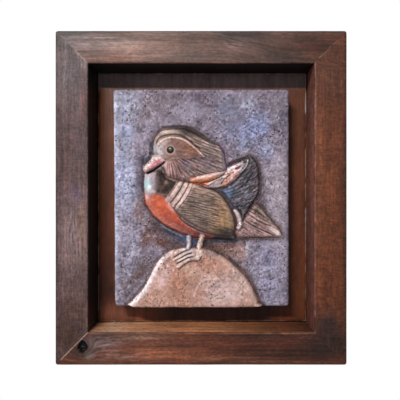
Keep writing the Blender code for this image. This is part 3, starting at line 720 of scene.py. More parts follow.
def tile_lines(length, fine_from, fine_to):
    """Places of the mesh's lines along one side: close on the rounded edges and on the carving."""
    near = TILE_EDGE * np.array((0.0, 0.05, 0.16, 0.34, 0.62))
    places = list(near)
    here = TILE_EDGE
    while here < length - TILE_EDGE:
        places.append(here)
        here += FINE_STEP if fine_from < here < fine_to else COARSE_STEP
    return np.array(places + list(length - near[::-1]))


def round_corners(x, y):
    """Bend the square corners of the tile's plan into quarter circles."""
    along = np.clip((abs(x) - (TILE_WIDTH / 2 - TILE_CORNER)) / TILE_CORNER, 0.0, 1.0)
    up = np.clip((abs(y) - (TILE_HEIGHT / 2 - TILE_CORNER)) / TILE_CORNER, 0.0, 1.0)
    both = (along > 0) & (up > 0)
    pull_x = np.where(both, along * (1 - np.sqrt(1 - up**2 / 2)) * TILE_CORNER, 0.0)
    pull_y = np.where(both, up * (1 - np.sqrt(1 - along**2 / 2)) * TILE_CORNER, 0.0)
    return x - np.sign(x) * pull_x, y - np.sign(y) * pull_y


def blurred(field, rounds):
    """A grid's heights evened out with their neighbours, several times."""
    for _ in range(rounds):
        wide = np.pad(field, 1, mode="edge")
        field = (wide[:-2, 1:-1] + wide[2:, 1:-1] + wide[1:-1, :-2] + wide[1:-1, 2:] + 4 * field) / 8
    return field


def new_grid(across, up):
    """A flat grid of so many faces, with the column and the row of each of its vertices."""
    bm = bmesh.new()
    bmesh.ops.create_grid(bm, x_segments=across, y_segments=up, size=0.5)
    share = np.array([vert.co[:2] for vert in bm.verts]) + 0.5
    return bm, *np.rint(share * (across, up)).astype(int).T


def push_back(grown, depth):
    """Move the vertices of an extrusion to the back."""
    for item in grown["geom"]:
        if isinstance(item, bmesh.types.BMVert):
            item.co.y = depth


def make_tile():
    across = tile_lines(TILE_WIDTH, CARVED_LEFT * SQUARE, CARVED_RIGHT * SQUARE)
    up = tile_lines(TILE_HEIGHT, TILE_EDGE, CARVED_TOP * SQUARE)
    bm, column, row = new_grid(len(across) - 1, len(up) - 1)
    x, y = across[column], up[row]
    edge = np.minimum(np.minimum(x, TILE_WIDTH - x), np.minimum(y, TILE_HEIGHT - y))
    x, y = round_corners(x - TILE_WIDTH / 2, y - TILE_HEIGHT / 2)
    spots = np.column_stack((x + TILE_WIDTH / 2, y + TILE_HEIGHT / 2)) / SQUARE

    outlines = {"rock": ROCK, "body": BODY, "head": HEAD, "beak": BEAK, "fan": FAN, "tail": TAIL,
                "belly": BELLY, "wing": WING, "sail": SAIL, "cheek": CHEEK, "face": FACE,
                "small_feather": SMALL_FEATHER, "throat": THROAT}
    reach = {name: reach_in(spots, outline) for name, outline in outlines.items()}
    wave, depth, comb, strength = feather_lines(spots, reach)
    height = relief(spots, reach) + hand_work(spots, reach, wave, depth)
    field = np.zeros((len(across), len(up)))
    field[column, row] = height
    hollow = (blurred(field, 6) - field)[column, row] / 0.00022
    colours = paint(spots, reach, wave, depth, np.clip(hollow, -1.0, 1.0))

    fall = TILE_EDGE * (1 - np.sqrt(np.clip(1 - (1 - np.clip(edge / TILE_EDGE, 0, 1)) ** 2, 0, 1)))
    x += TILE_LEFT_LEAN * (0.5 - x / TILE_WIDTH) * -(y / TILE_HEIGHT)
    uneven = 0.0003 * cloud(spots, 12.0, 173) * peak(edge, 0.004)
    x += uneven * np.sign(x) * (abs(x) / TILE_WIDTH > abs(y) / TILE_HEIGHT)
    y += uneven * np.sign(y) * (abs(x) / TILE_WIDTH <= abs(y) / TILE_HEIGHT)
    places = np.column_stack((x, TILE_BACK - TILE_THICKNESS - height + fall, y + CENTRE_Z))

    eye_gap = np.hypot(*(spots - np.array(EYE)).T)
    gloss = step_up(EYE_RADIUS + 0.2, EYE_RADIUS - 0.4, eye_gap)
    strength = strength * (1 - step_up(0.2, 0.75, np.maximum.reduce(
        [ridge(spots, line, 2.2) for line in COLLAR + LEGS + TOES + (CREST_END,)])))
    grit = 1.0 - 0.55 * step_up(0.0, 2.0, np.maximum(reach["body"], reach["head"]))
    grit -= 0.62 * step_up(0.0, 3.0, reach["rock"]) * step_up(0.7, 0.3, 0.5 + 0.5 * cloud(spots, 16.0, 157))
    off_duck = step_up(0.0, -3.0, np.maximum.reduce([reach[name] for name in ("rock", "body", "head")]))
    grit *= 1 - 0.55 * off_duck * step_up(0.62, 0.30, 0.5 + 0.5 * cloud(spots, 20.0, 163))
    grit = np.maximum(grit * (1 - gloss), 0.0)
    dress(bm, places, colours, comb=comb, combed=strength, grit=grit, gloss=gloss)
    push_back(bmesh.ops.extrude_edge_only(bm, edges=[e for e in bm.edges if e.is_boundary]), TILE_BACK)
    bmesh.ops.contextual_create(bm, geom=[e for e in bm.edges if e.is_boundary])
    add_piece("carved_tile", bm, clay_material(), "relief_tile")


def dress(bm, places, tones, **fields):
    """Place the vertices, and write on them the paint and the other values that the materials read."""
    paint_layer = bm.verts.layers.float_color.new("paint")
    for vert, place, tone in zip(bm.verts, places, tones):
        vert.co = place
        vert[paint_layer] = (*tone, 1.0)
    for name, values in fields.items():
        kinds = bm.verts.layers
        layer = (kinds.float if values.ndim == 1 else kinds.float_vector).new(name)
        for vert, value in zip(bm.verts, values):
            vert[layer] = value


def put(name, data):
    item = bpy.data.objects.new(name, data)
    bpy.context.scene.collection.objects.link(item)
    return item


def add_piece(name, bm, material, node):
    bmesh.ops.recalc_face_normals(bm, faces=bm.faces)
    mesh = bpy.data.meshes.new(name)
    bm.to_mesh(mesh)
    bm.free()
    mesh.materials.append(material)
    mesh.shade_smooth()
    mesh.set_sharp_from_angle(angle=math.radians(40))
    piece = put(name, mesh)
    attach(piece, "root")
    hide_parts(node)


# Materials

def new_material(name):
    material = bpy.data.materials.new(name)
    material.use_nodes = True
    tree = material.node_tree
    return material, tree, tree.nodes["Principled BSDF"]


def add_node(tree, kind, **values):
    node = tree.nodes.new(kind)
    for name, value in values.items():
        if hasattr(node, name):
            setattr(node, name, value)
        else:
            node.inputs[name.replace("_", " ")].default_value = value
    return node


def object_place(tree, shift=(0.0, 0.0, 0.0)):
    """Object coordinates, shifted for a pattern."""
    coordinates = add_node(tree, "ShaderNodeTexCoord")
    mapping = add_node(tree, "ShaderNodeMapping", Location=shift)
    tree.links.new(coordinates.outputs["Object"], mapping.inputs["Vector"])
    return mapping.outputs["Vector"]


def noise(tree, vector, scale, detail=4.0, roughness=0.6, distortion=0.0):
    node = add_node(tree, "ShaderNodeTexNoise", Scale=scale, Detail=detail, Roughness=roughness,
                    Distortion=distortion)
    tree.links.new(vector, node.inputs["Vector"])
    return node.outputs["Fac"]


def ramp(tree, factor, *stops):
    """A colour ramp; each stop is a place and a colour."""
    node = add_node(tree, "ShaderNodeValToRGB")
    elements = node.color_ramp.elements
    while len(elements) < len(stops):
        elements.new(0.5)
    for element, (place, colour) in zip(elements, stops):
        element.position = place
        element.color = (*colour, 1.0)
    tree.links.new(factor, node.inputs["Fac"])
    return node.outputs["Color"]


def mask(tree, factor, low, high):
    node = add_node(tree, "ShaderNodeMapRange", interpolation_type="SMOOTHSTEP")
    node.inputs["From Min"].default_value = low
    node.inputs["From Max"].default_value = high
    tree.links.new(factor, node.inputs["Value"])
    return node.outputs["Result"]


def mixed(tree, share, first, second, blend="MIX"):
    """Mix two colours; each is a socket or a colour."""
    node = add_node(tree, "ShaderNodeMix", data_type="RGBA", blend_type=blend)
    factor, a, b = node.inputs[0], node.inputs[6], node.inputs[7]
    for socket, value in ((factor, share), (a, first), (b, second)):
        if isinstance(value, bpy.types.NodeSocket):
            tree.links.new(value, socket)
        elif isinstance(value, float):
            socket.default_value = value
        else:
            socket.default_value = (*value, 1.0)
    return node.outputs[2]


def shaded(tree, colour, factor, low, high, dark, bright):
    """A colour made darker and brighter by a pattern, which runs from low to high."""
    node = add_node(tree, "ShaderNodeMapRange")
    for name, value in (("From Min", low), ("From Max", high), ("To Min", dark), ("To Max", bright)):
        node.inputs[name].default_value = value
    tree.links.new(factor, node.inputs["Value"])
    return mixed(tree, 1.0, colour, node.outputs["Result"], "MULTIPLY")


def maths(tree, operation, *values):
    node = add_node(tree, "ShaderNodeMath", operation=operation)
    for socket, value in zip(node.inputs, values):
        if isinstance(value, bpy.types.NodeSocket):
            tree.links.new(value, socket)
        else:
            socket.default_value = value
    return node.outputs["Value"]


def times(tree, first, *others):
    for value in others:
        first = maths(tree, "MULTIPLY", first, value)
    return first


def bump(tree, shader, height, strength, distance):
    node = add_node(tree, "ShaderNodeBump")
    node.inputs["Strength"].default_value = strength
    node.inputs["Distance"].default_value = distance
    tree.links.new(height, node.inputs["Height"])
    tree.links.new(node.outputs["Normal"], shader.inputs["Normal"])


def clay_material():
    """Matt painted clay: mottled washes, combed feather lines, and pits and grains of the coarse body."""
    material, tree, shader = new_material("painted_clay")
    paint_layer = add_node(tree, "ShaderNodeVertexColor", layer_name="paint")
    comb = add_node(tree, "ShaderNodeAttribute", attribute_name="comb")
    combed, grit, gloss = [add_node(tree, "ShaderNodeAttribute", attribute_name=name).outputs["Fac"]
                           for name in ("combed", "grit", "gloss")]
    place = object_place(tree)
    elsewhere = object_place(tree, (0.4, 0.1, 0.2))

    wash = noise(tree, place, 120.0, 4.0, 0.65)
    smudge = noise(tree, elsewhere, 190.0, 3.0, 0.6)
    mottle = noise(tree, elsewhere, 340.0, 3.0, 0.6)
    crowd = noise(tree, elsewhere, 48.0, 3.0, 0.6)
    pits = noise(tree, place, 480.0, 2.0, 0.5, 0.8)
    grains = noise(tree, elsewhere, 480.0, 1.0, 0.5)
    hairs = noise(tree, comb.outputs["Vector"], 0.95, 2.0, 0.55, 0.15)

    calm = shaded(tree, paint_layer.outputs["Color"], wash, 0.34, 0.66, 0.84, 1.16)
    calm = shaded(tree, calm, mottle, 0.34, 0.66, 0.90, 1.10)
    colour = shaded(tree, paint_layer.outputs["Color"], wash, 0.34, 0.66, 0.72, 1.26)
    colour = shaded(tree, colour, smudge, 0.34, 0.66, 0.80, 1.18)
    colour = mixed(tree, grit, calm, shaded(tree, colour, mottle, 0.34, 0.66, 0.68, 1.24))
    hollows = times(tree, mask(tree, pits, 0.565, 0.64), grit, mask(tree, crowd, 0.42, 0.60))
    colour = mixed(tree, times(tree, hollows, 0.92), colour, (0.12, 0.09, 0.12), "MULTIPLY")
    raised = times(tree, mask(tree, grains, 0.57, 0.69), grit, 0.8)
    colour = mixed(tree, raised, colour, (1.5, 1.47, 1.52), "MULTIPLY")
    dark_hair = times(tree, mask(tree, hairs, 0.50, 0.38), combed, 0.85)
    colour = mixed(tree, dark_hair, colour, (0.32, 0.25, 0.26), "MULTIPLY")
    pale_hair = times(tree, mask(tree, hairs, 0.53, 0.66), combed)
    colour = mixed(tree, pale_hair, colour, (1.65, 1.56, 1.56), "MULTIPLY")
    tree.links.new(colour, shader.inputs["Base Color"])

    matt = ramp(tree, mottle, (0.2, (0.64,) * 3), (0.8, (0.88,) * 3))
    rough = mixed(tree, gloss, matt, (0.26,) * 3)
    tree.links.new(rough, shader.inputs["Roughness"])
    shader.inputs["Specular IOR Level"].default_value = 0.36
    height = maths(tree, "SUBTRACT", times(tree, mottle, 0.5), hollows)
    height = maths(tree, "ADD", height, times(tree, hairs, combed, 1.8))
    bump(tree, shader, height, 0.55, 0.0005)
    return material


def wood_material(name, shift, bands, streaks, lines, dashes, figure=0.0):
    """Stained softwood over its painted stain, which also holds painted light and shade: bands, streaks,
    fine lines and short dashes along the grain, perhaps a wavy figure across it, and pale scuffs where the
    surface is rubbed."""
    material, tree, shader = new_material(name)
    stain_and_painted_light = add_node(tree, "ShaderNodeVertexColor", layer_name="paint")
    scuffed = add_node(tree, "ShaderNodeAttribute", attribute_name="scuffed").outputs["Fac"]
    flow = add_node(tree, "ShaderNodeAttribute", attribute_name="grain").outputs["Vector"]

    def grain(lengthwise, crosswise, offset):
        mapping = add_node(tree, "ShaderNodeMapping", Location=(offset, offset * 0.7, offset * 1.3),
                           Scale=(lengthwise, crosswise, crosswise))
        tree.links.new(flow, mapping.inputs["Vector"])
        return mapping.outputs["Vector"]

    band = noise(tree, grain(6.0, 105.0, shift + 9), 1.0, 2.0, 0.5, 0.3)
    streak = noise(tree, grain(11.0, 210.0, shift), 1.0, 3.0, 0.6, 0.4)
    line = noise(tree, grain(24.0, 540.0, shift + 3), 1.0, 2.0, 0.6, 0.2)
    dash = noise(tree, grain(260.0, 620.0, shift + 7), 1.0, 2.0, 0.6)
    blotch = noise(tree, grain(50.0, 100.0, shift + 5), 1.0, 4.0, 0.65)
    colour = stain_and_painted_light.outputs["Color"]
    for pattern, share in ((band, bands), (streak, streaks), (line, lines), (dash, dashes)):
        colour = shaded(tree, colour, pattern, 0.36, 0.64, 1 - share, 1 + share)
    colour = shaded(tree, colour, blotch, 0.36, 0.64, 0.78, 1.20)
    height = maths(tree, "ADD", line, dash)
    if figure:
        curl = noise(tree, grain(400.0, 80.0, shift + 11), 1.0, 3.0, 0.55, 1.3)
        colour = shaded(tree, colour, curl, 0.36, 0.64, 1 - figure, 1 + figure)
        height = maths(tree, "ADD", height, curl)
    scratch = mask(tree, noise(tree, grain(90.0, 500.0, shift + 13), 1.0, 3.0, 0.65), 0.42, 0.66)
    colour = mixed(tree, times(tree, scratch, scuffed), colour, tuple(linear(190, 174, 170)))
    tree.links.new(colour, shader.inputs["Base Color"])
    tree.links.new(ramp(tree, streak, (0.3, (0.60,) * 3), (0.7, (0.42,) * 3)), shader.inputs["Roughness"])
    shader.inputs["Specular IOR Level"].default_value = 0.24
    bump(tree, shader, height, 0.35, 0.0005)
    return material


# Frame and board

def soft_patch(x, z, at, size, turn=0.0):
    """A soft patch on the panel, 1 at its middle; its place is counted from the panel's centre."""
    c, s = math.cos(math.radians(turn)), math.sin(math.radians(turn))
    a = ((x - at[0]) * c + (z - at[1]) * s) / size[0]
    b = ((z - at[1]) * c - (x - at[0]) * s) / size[1]
    return np.exp(-(a**2 + b**2))


def knot_core(x, z):
    """The knot's dark core, which has fallen out: its rim is ragged."""
    ragged = 0.5 * lumps(np.column_stack((x, z)) * 1000, 3.2, 233)
    return step_up(0.30, 0.55, soft_patch(x, z, KNOT_AT, KNOT_SIZE, KNOT_TURN) * (1 + ragged))


def lay_over(colour, tone, share):
    share = np.clip(share, 0.0, 1.0)[:, None]
    return colour * (1 - share) + linear(*tone) * share


def patch_over(x, z, at_x, at_z, wide, high):
    """A soft patch given in millimetres."""
    return soft_patch(x * 1000, z * 1000, (at_x, at_z), (wide, high))


def lay_patches(colour, x, z, patches, region=1.0):
    """Stains, and painted light and shade where a table holds them, laid one after the other."""
    for *patch, tone, share in patches:
        colour = lay_over(colour, tone, region * share * patch_over(x, z, *patch))
    return colour


def rail_section():
    """The rail's outline as steps of depth behind the front and of reach inward, with worn arrises."""
    deep = FRAME_BACK - FRAME_FRONT
    points = [(deep, 0.0)]
    points += [(d, 0.0) for d in np.linspace(deep, OUTER_ARRIS, 12)[1:-1]]
    for turn in np.linspace(0, math.pi / 2, 6):
        points.append((OUTER_ARRIS * (1 - math.sin(turn)), OUTER_ARRIS * (1 - math.cos(turn))))
    points += [(0.0, i) for i in np.linspace(OUTER_ARRIS, RAIL_FACE - INNER_ARRIS, 40)[1:-1]]
    for turn in np.linspace(0, math.pi / 2, 6):
        points.append((INNER_ARRIS * (1 - math.cos(turn)), RAIL_FACE - INNER_ARRIS * (1 - math.sin(turn))))
    points += [(d, RAIL_FACE) for d in np.linspace(INNER_ARRIS, deep - LIP_THICKNESS, 20)[1:]]
    points += [(deep - LIP_THICKNESS, RAIL_FACE + LIP_REACH), (deep, RAIL_FACE + LIP_REACH)]
    return np.array(points + [(deep, i) for i in np.linspace(RAIL_FACE + LIP_REACH, 0.0, 8)[1:-1]])


def grain_flow(lengthwise, inward, depth, x, z):
    """Where each spot lies in the wood's grain, which bends round the knot, slants in the top rail's right
    half and waves a little elsewhere."""
    wave = 0.0016 * lumps(np.column_stack((lengthwise, inward)) * 1000, 34.0, 227)
    slant = -0.014 * step_up(0.005, 0.095, x) * step_up(0.120, 0.128, z)
    knot_gap = np.hypot(x - KNOT_AT[0], z - KNOT_AT[1])
    round_knot = -0.2 * peak(knot_gap, KNOT_GRAIN_REACH) * (-FRAME_HEIGHT / 2 - z + KNOT_AT[1])
    across = inward + depth + wave + slant
    return np.column_stack((lengthwise, across + np.where(z < -0.125, round_knot, 0.0), np.zeros(len(x))))


def make_rail(name, node, length, turn, reach, material, stain_and_painted_light):
    """A mitred rail: its section carried along in steps that run parallel to the mitres at the ends."""
    section = rail_section()
    near_end = np.array((0.0, 0.0004, 0.0009, 0.0016, 0.0026))
    middle = np.linspace(0.004, length - 0.004, round(length / RAIL_STEP))
    along = np.concatenate((near_end, middle, length - near_end[::-1])) / (length / 2) - 1.0
    bm, column, row = new_grid(len(along) - 1, len(section))
    depth, inward = section[row % len(section)].T
    lengthwise = along[column] * (length / 2 - inward)
    end_gap = (1 - np.abs(along[column])) * (length / 2)
    spin = np.array(Matrix.Rotation(math.radians(turn), 3, "Y"))

    # Wear: arrises rubbed down unevenly, faces a little out of true, and the knot's hole
    place = np.column_stack((lengthwise * 1000, inward * 1000 + turn))
    front = step_up(0.006, 0.0, depth)
    rubbed = 0.5 + 0.5 * cloud(place, 14.0, 211 + turn)
    at_arris = peak(inward, 0.0018) + peak(inward - RAIL_FACE, 0.0016)
    x, _, z = (np.column_stack((lengthwise, depth, reach - inward)) @ spin.T).T
    core = knot_core(x, z)
    colour = rail_colour(x, z, depth, inward, end_gap, place, stain_and_painted_light)
    flow = grain_flow(lengthwise, inward, depth, x, z)
    scuffed = np.zeros(len(x))
    for *patch, strength in stain_and_painted_light["scuffs"]:
        scuffed = np.maximum(scuffed, front * strength * (1 - core) * patch_over(x, z, *patch))
    depth = depth + front * (0.00035 * at_arris * rubbed + 0.00010 * cloud(place, 30.0, 307 + turn))
    depth = depth + front * KNOT_HOLE * core

    # Outer corners rounded in plan
    from_end, from_side = FRAME_CORNER - (length / 2 - abs(lengthwise)), FRAME_CORNER - inward
    outside = (from_end > 0) & (from_side > 0)
    pull = np.minimum(FRAME_CORNER / np.maximum(np.hypot(from_end, from_side), 1e-9), 1.0)
    rounded = np.sign(lengthwise) * (length / 2 - FRAME_CORNER + from_end * pull)
    lengthwise = np.where(outside, rounded, lengthwise)
    inward = np.where(outside, FRAME_CORNER - from_side * pull, inward)

    world = np.column_stack((lengthwise, FRAME_FRONT + depth, reach - inward)) @ spin.T
    dress(bm, world + (0.0, 0.0, CENTRE_Z), colour, scuffed=scuffed, grain=flow)
    bmesh.ops.remove_doubles(bm, verts=bm.verts, dist=0.00002)
    bmesh.ops.holes_fill(bm, edges=[e for e in bm.edges if e.is_boundary], sides=0)
    add_piece(name, bm, material, node)


def arris_share(inward, depth):
    outer = np.exp(-(((inward / 0.0012) ** 2 + (depth / 0.0016) ** 2)))
    inner = np.exp(-((((inward - RAIL_FACE) / 0.0009) ** 2 + (depth / 0.0012) ** 2)))
    return outer, inner


# Patches that run over the mitres, and how each rail is coloured: its stain, with painted light and shade
# laid in. The mauve-grey patches on the left stile, at the top rail's left end and at the upper left corner
# are a painted sheen, and the rails grow darker towards the lower right. A patch is its place from the
# panel's middle and its two half widths, in millimetres, then its colour and its strength. "wall" is the
# inner wall's tone and "walls" are patches on the inner wall: painted shade on the top and left walls,
# painted light and shade on the right and bottom walls, with a pool of light and a highlight on the bottom
# wall's left part.
# "inner" and "outer" are the arrises, the pale inner arris being wear and a painted highlight, and "scuffs"
# are places rubbed pale.
UPPER_CORNERS = ((-127, 147, 11, 10, (82, 74, 74), 0.8), (126, 146, 14, 10, (82, 46, 34), 0.7))
LOWER_CORNER = ((119, -131, 19, 16, (45, 30, 26), 0.95),)
TOP_STAIN_AND_PAINTED_LIGHT = {
    "face": (88, 63, 55), "wall": (19, 14, 14),
    "inner": ((137, 108, 97), 0.4), "outer": ((38, 28, 27), 0.6),
    "walls": (),
    "scuffs": ((-95, 149.5, 30, 0.7, 0.45), (-98, 143.4, 28, 0.7, 0.45), (-80, 146, 30, 5, 0.2),
        (30, 144, 20, 6, 0.16)),
    "patches": ((-112, 143, 30, 12, (87, 72, 74), 0.9), (-130, 141, 8, 10, (70, 62, 66), 0.9),
        (-64, 136, 36, 9, (130, 98, 88), 0.95), (-8, 132, 24, 4, (74, 57, 52), 0.9),
        (-85, 130, 26, 2, (125, 78, 68), 0.6), (-120, 152.8, 16, 2.6, (56, 51, 51), 0.9),
        (46, 146, 46, 6, (65, 44, 38), 0.8), (40, 152, 26, 4, (49, 40, 42), 0.9),
        (27, 134, 10, 4, (104, 78, 70), 0.8), (68, 136, 30, 9, (62, 43, 38), 0.85),
        (108, 140, 28, 16, (64, 34, 22), 0.95), (74, 130, 18, 4, (48, 35, 33), 0.85)),
}
RIGHT_STAIN_AND_PAINTED_LIGHT = {
    "face": (88, 46, 28), "wall": (112, 66, 50),
    "inner": ((156, 112, 104), 0.5), "outer": ((34, 20, 16), 0.6),
    "walls": ((106, 0, 2, 160, (100, 76, 80), 0.4), (106, 20, 2, 50, (132, 84, 70), 0.6)),
    "scuffs": ((104, -80, 1.2, 60, 0.5), (104, 40, 1.2, 60, 0.5)),
    "patches": ((122, 115, 18, 30, (70, 42, 31), 0.85), (118, 10, 12, 80, (96, 52, 31), 0.8),
        (110.8, 10, 3, 70, (110, 64, 42), 0.7), (135, 0, 4, 140, (52, 28, 20), 0.7),
        (118, -118, 13, 12, (48, 32, 29), 0.95), (130, -140, 10, 10, (42, 25, 18), 0.9)),
}
BOTTOM_STAIN_AND_PAINTED_LIGHT = {
    "face": (79, 39, 26), "wall": (96, 58, 40),
    "inner": ((168, 116, 84), 0.4), "outer": ((86, 52, 35), 0.6),
    "walls": ((-78, -126, 50, 20, (196, 146, 112), 0.95), (-5, -126, 44, 20, (178, 122, 86), 0.85),
        (-85, -122, 10, 4, (216, 192, 174), 0.7), (104, -126, 10, 20, (62, 38, 30), 0.8)),
    "scuffs": ((-90, -136, 18, 6, 0.25), (-65, -148, 30, 4, 0.2)),
    "patches": ((-93, -136, 18, 9, (92, 73, 74), 0.95), (-40, -138, 40, 8, (100, 60, 44), 0.9),
        (-62, -130, 26, 3, (112, 84, 72), 0.85), (-22, -140, 18, 6, (78, 44, 33), 0.8),
        (-40, -147, 48, 5, (118, 68, 46), 0.9), (-112, -147, 20, 9, (60, 38, 31), 0.9),
        (-95, -152, 30, 3, (88, 52, 36), 0.85), (-104, -147, 5, 4, (88, 77, 73), 0.9),
        (-75, -145.5, 10, 1.2, (44, 23, 17), 0.8), (4, -150.5, 18, 3, (98, 64, 48), 0.8),
        (80, -144, 50, 12, (52, 26, 16), 0.85), (118, -138, 18, 12, (38, 24, 20), 0.9),
        (60, -130, 52, 5, (48, 27, 20), 0.9), (50, -128, 60, 1, (30, 16, 12), 0.7),
        (45, -149.2, 34, 1.6, (92, 58, 42), 0.85), (52, -152.5, 45, 1.2, (100, 66, 50), 0.7),
        (60, -144.8, 44, 1.2, (78, 46, 32), 0.7), (70, -140.4, 34, 1.1, (66, 38, 27), 0.7),
        (62, -147, 44, 0.8, (38, 19, 13), 0.8), (75, -142.4, 40, 0.9, (36, 19, 14), 0.7)),
}
LEFT_STAIN_AND_PAINTED_LIGHT = {
    "face": (82, 64, 64), "wall": (18, 13, 11),
    "inner": ((132, 107, 96), 0.4), "outer": ((46, 35, 33), 0.6),
    "walls": (),
    "scuffs": ((-110, 125, 3, 4, 0.5), (-120, -35, 12, 30, 0.25)),
    "patches": ((-122, 116, 18, 24, (85, 73, 77), 0.9), (-122, 56, 18, 38, (71, 53, 54), 0.95),
        (-112, 18, 7, 14, (92, 71, 67), 0.8), (-125, 2, 14, 12, (98, 76, 79), 0.8),
        (-121, -30, 20, 24, (104, 83, 83), 0.95), (-111, -24, 5, 20, (116, 88, 79), 0.8),
        (-121, -60, 18, 12, (104, 82, 80), 0.9), (-119, -82, 14, 12, (84, 64, 62), 0.9),
        (-119, -104, 18, 12, (80, 57, 52), 0.9), (-124, -130, 22, 20, (64, 43, 36), 1),
        (-130, 30, 1.2, 30, (52, 34, 32), 0.7), (-127, 22, 1, 34, (96, 60, 54), 0.6),
        (-122.5, 60, 1.6, 26, (88, 64, 60), 0.6), (-116, 4, 5, 9, (78, 62, 82), 0.7),
        (-110.4, 90, 1.6, 22, (108, 62, 64), 0.7), (-135, 0, 3, 130, (61, 44, 42), 0.6),
        (-134.5, 144, 0.9, 6, (20, 15, 15), 0.9), (-131.5, 140, 0.8, 6, (24, 17, 17), 0.8),
        (-128.5, 141, 0.9, 5, (30, 23, 24), 0.8)),
}


def rail_colour(x, z, depth, inward, end_gap, place, stain_and_painted_light):
    wall = step_up(0.001, 0.003, depth) * step_up(0.028, 0.030, inward)
    colour = np.tile(linear(*stain_and_painted_light["face"]), (len(x), 1))
    # The face's stain and patches; the mauve-grey ones on the left stile and the top rail's left end are a
    # painted sheen.
    colour = lay_patches(colour, x, z, UPPER_CORNERS + stain_and_painted_light["patches"] + LOWER_CORNER)
    # The inner wall's tone and patches: painted shade on the top and left walls, painted light and shade on
    # the right and bottom walls.
    colour = lay_over(colour, stain_and_painted_light["wall"], wall)
    colour = lay_patches(colour, x, z, stain_and_painted_light["walls"], wall)
    outer, inner = arris_share(inward, depth)
    broken = step_up(-0.5, 0.4, cloud(place, 9.0, 503))
    # The inner arris is rubbed pale, and this also serves as a painted highlight.
    colour = lay_over(colour, stain_and_painted_light["inner"][0], stain_and_painted_light["inner"][1] * inner * broken)
    colour = lay_over(colour, stain_and_painted_light["outer"][0], stain_and_painted_light["outer"][1] * outer)
    core = knot_core(x, z)
    colour = lay_over(colour, (46, 34, 31), 0.9 * soft_patch(x, z, KNOT_AT, KNOT_STAIN_SIZE, KNOT_TURN))
    # Near black paint in the knot's hole: painted shade.
    colour = lay_over(colour, (2, 1, 1), 1.5 * core)

    # Bare wood along the mitres: bright at the lower left, dotted at the upper right, none at the lower
    # right
    corner = 2 * (z > 0) + (x > 0)
    share = np.array((0.8, 0.0, 0.4, 0.45))[corner] * step_up(0.004, 0.0, depth)
    start = np.array((0.003, 0.003, 0.016, 0.008))[corner]
    dotted = np.where(corner == 3, step_up(-0.1, 0.4, lumps(place, 2.4, 509)), 1.0)
    width = np.array((0.0007, 0.0007, 0.0012, 0.0007))[corner]
    worn = share * dotted * step_up(0.0, 0.005, inward - start) * peak(end_gap, width)
    return lay_over(colour, (168, 142, 132), worn)


def make_frame():
    half_width, half_height = FRAME_WIDTH / 2, FRAME_HEIGHT / 2
    make_rail("top_rail", "frame_top_rail", FRAME_WIDTH, 0, half_height,
              wood_material("top_rail_wood", 1.0, 0.12, 0.22, 0.20, 0.24), TOP_STAIN_AND_PAINTED_LIGHT)
    make_rail("right_stile", "frame_right_stile", FRAME_HEIGHT, 90, half_width,
              wood_material("right_stile_wood", 2.0, 0.05, 0.08, 0.13, 0.24, 0.24), RIGHT_STAIN_AND_PAINTED_LIGHT)
    make_rail("bottom_rail", "frame_bottom_rail", FRAME_WIDTH, 180, half_height,
              wood_material("bottom_rail_wood", 3.0, 0.24, 0.28, 0.20, 0.28), BOTTOM_STAIN_AND_PAINTED_LIGHT)
    make_rail("left_stile", "frame_left_stile", FRAME_HEIGHT, 270, half_width,
              wood_material("left_stile_wood", 4.0, 0.12, 0.12, 0.18, 0.28, 0.18), LEFT_STAIN_AND_PAINTED_LIGHT)


def make_board():
    """The backing board with its arris rubbed pale, most of all down the right side."""
    across, up = BOARD_SEGMENTS
    bm, column, row = new_grid(across, up)
    width, height = board_high.x - board_low.x, board_high.z - board_low.z
    x, z = (column / across - 0.5) * width, (row / up - 0.5) * height
    edge = np.minimum(width / 2 - np.abs(x), height / 2 - np.abs(z))
    fall = BOARD_ARRIS * np.clip(1 - edge / BOARD_ARRIS, 0, 1)
    middle = ((board_low.x + board_high.x) / 2, (board_low.z + board_high.z) / 2)
    place = np.column_stack((x, z)) * 1000
    colour = np.tile(linear(84, 42, 22), (len(x), 1))
    colour = lay_patches(colour, x, z, ((-98, -85, 16, 50, (66, 32, 24), 0.8),))
    colour = lay_over(colour, (100, 56, 32), 0.5 * step_up(0.4, 0.9, 0.5 + 0.5 * cloud(place, 40.0, 401)))
    colour = lay_patches(colour, x, z, ((-109, 95, 14, 30, (98, 48, 22), 0.7),
                                        (-98, -92, 14, 14, (46, 22, 16), 0.7),
                                        (-82, -117, 30, 9, (116, 70, 54), 0.8)))
    # A grey band along the board's top, where the top rail's shadow falls: painted shade.
    colour = lay_over(colour, (104, 88, 86), 0.9 * step_up(0.107, 0.113, z))
    shadow = step_up(-0.100, -0.108, z) * step_up(-0.060, -0.030, x) * step_up(0.080, 0.064, x)
    colour = lay_over(colour, (40, 22, 16), 0.85 * shadow)
    worn = peak(edge, 0.0008) * step_up(0.3, 0.8, 0.6 + 0.6 * cloud(place, 9.0, 409))
    worn *= np.where(z < 0.01 - height / 2, 0.45, 1.0)
    colour = lay_over(colour, (150, 118, 96), worn * 0.8)
    scuffs = soft_patch(x, z, (width / 2, 0.090), (0.004, 0.010))
    scuffs += soft_patch(x, z, (width / 2, -0.016), (0.004, 0.007))
    colour = lay_over(colour, (196, 186, 186), worn * scuffs)
    spots = np.column_stack((x + middle[0], board_low.y + fall, z + middle[1]))
    dress(bm, spots, colour, scuffed=worn * 0.4, grain=np.column_stack((z, x, 0 * x)))
    push_back(bmesh.ops.extrude_face_region(bm, geom=bm.faces[:], use_keep_orig=True), board_high.y)
    wood = wood_material("board_wood", 5.0, 0.08, 0.12, 0.07, 0.08)
    add_piece("board", bm, wood, "backing_board")


# Studio

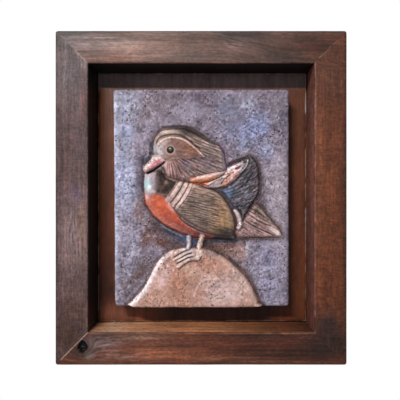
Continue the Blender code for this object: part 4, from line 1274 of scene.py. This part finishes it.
def add_light(name, place, aim, size, power, colour):
    data = bpy.data.lights.new(name, "AREA")
    data.shape = "RECTANGLE"
    data.size, data.size_y = size
    data.energy = power
    data.color = colour
    lamp = put(name, data)
    lamp.location = place
    lamp.rotation_euler = (Vector(aim) - Vector(place)).to_track_quat("-Z", "Y").to_euler()


def make_studio():
    scene = bpy.context.scene
    scene.view_settings.view_transform = "Standard"
    world = bpy.data.worlds.new("studio")
    world.use_nodes = True
    scene.world = world
    tree = world.node_tree
    soft = tree.nodes["Background"]
    soft.inputs["Color"].default_value = (0.92, 0.93, 1.0, 1.0)
    soft.inputs["Strength"].default_value = STUDIO_LIGHT
    white = add_node(tree, "ShaderNodeBackground")
    white.inputs["Color"].default_value = (1.0, 1.0, 1.0, 1.0)
    path = add_node(tree, "ShaderNodeLightPath")
    mix = add_node(tree, "ShaderNodeMixShader")
    tree.links.new(path.outputs["Is Camera Ray"], mix.inputs[0])
    tree.links.new(soft.outputs["Background"], mix.inputs[1])
    tree.links.new(white.outputs["Background"], mix.inputs[2])
    tree.links.new(mix.outputs["Shader"], tree.nodes["World Output"].inputs["Surface"])

    aim = (0.0, FRAME_FRONT, CENTRE_Z)
    key_place = (-0.31, FRAME_FRONT - 1.0, CENTRE_Z + 0.60)
    add_light("key", key_place, aim, (0.32, 0.05), KEY_POWER, (1.0, 0.96, 0.90))
    sheen_place = (-0.95, -0.75, CENTRE_Z + 0.30)
    add_light("sheen", sheen_place, aim, (0.7, 0.9), SHEEN_POWER, (0.92, 0.94, 1.0))

    bm = bmesh.new()
    bmesh.ops.create_circle(bm, cap_ends=True, radius=0.42, segments=96)
    bmesh.ops.translate(bm, verts=bm.verts, vec=(0.0, 0.0, CENTRE_Z - 0.40))
    mesh = bpy.data.meshes.new("floor")
    bm.to_mesh(mesh)
    bm.free()
    material, _, shader = new_material("pale_floor")
    shader.inputs["Base Color"].default_value = (0.80, 0.79, 0.77, 1.0)
    shader.inputs["Roughness"].default_value = 0.9
    mesh.materials.append(material)
    put("floor", mesh)


def make_camera():
    """The lens looks straight at the wall, a little right of the panel's middle."""
    data = bpy.data.cameras.new("camera")
    data.sensor_width = SENSOR_WIDTH
    data.lens = LENS
    data.shift_x, data.shift_y = LENS_SHIFT
    camera = put("camera", data)
    camera.location = (CAMERA_SIDE, FRAME_FRONT - CAMERA_GAP, CENTRE_Z + CAMERA_ABOVE)
    camera.rotation_euler = (math.radians(90), 0.0, 0.0)
    bpy.context.scene.camera = camera


make_camera()
make_studio()
make_tile()
make_frame()
make_board()
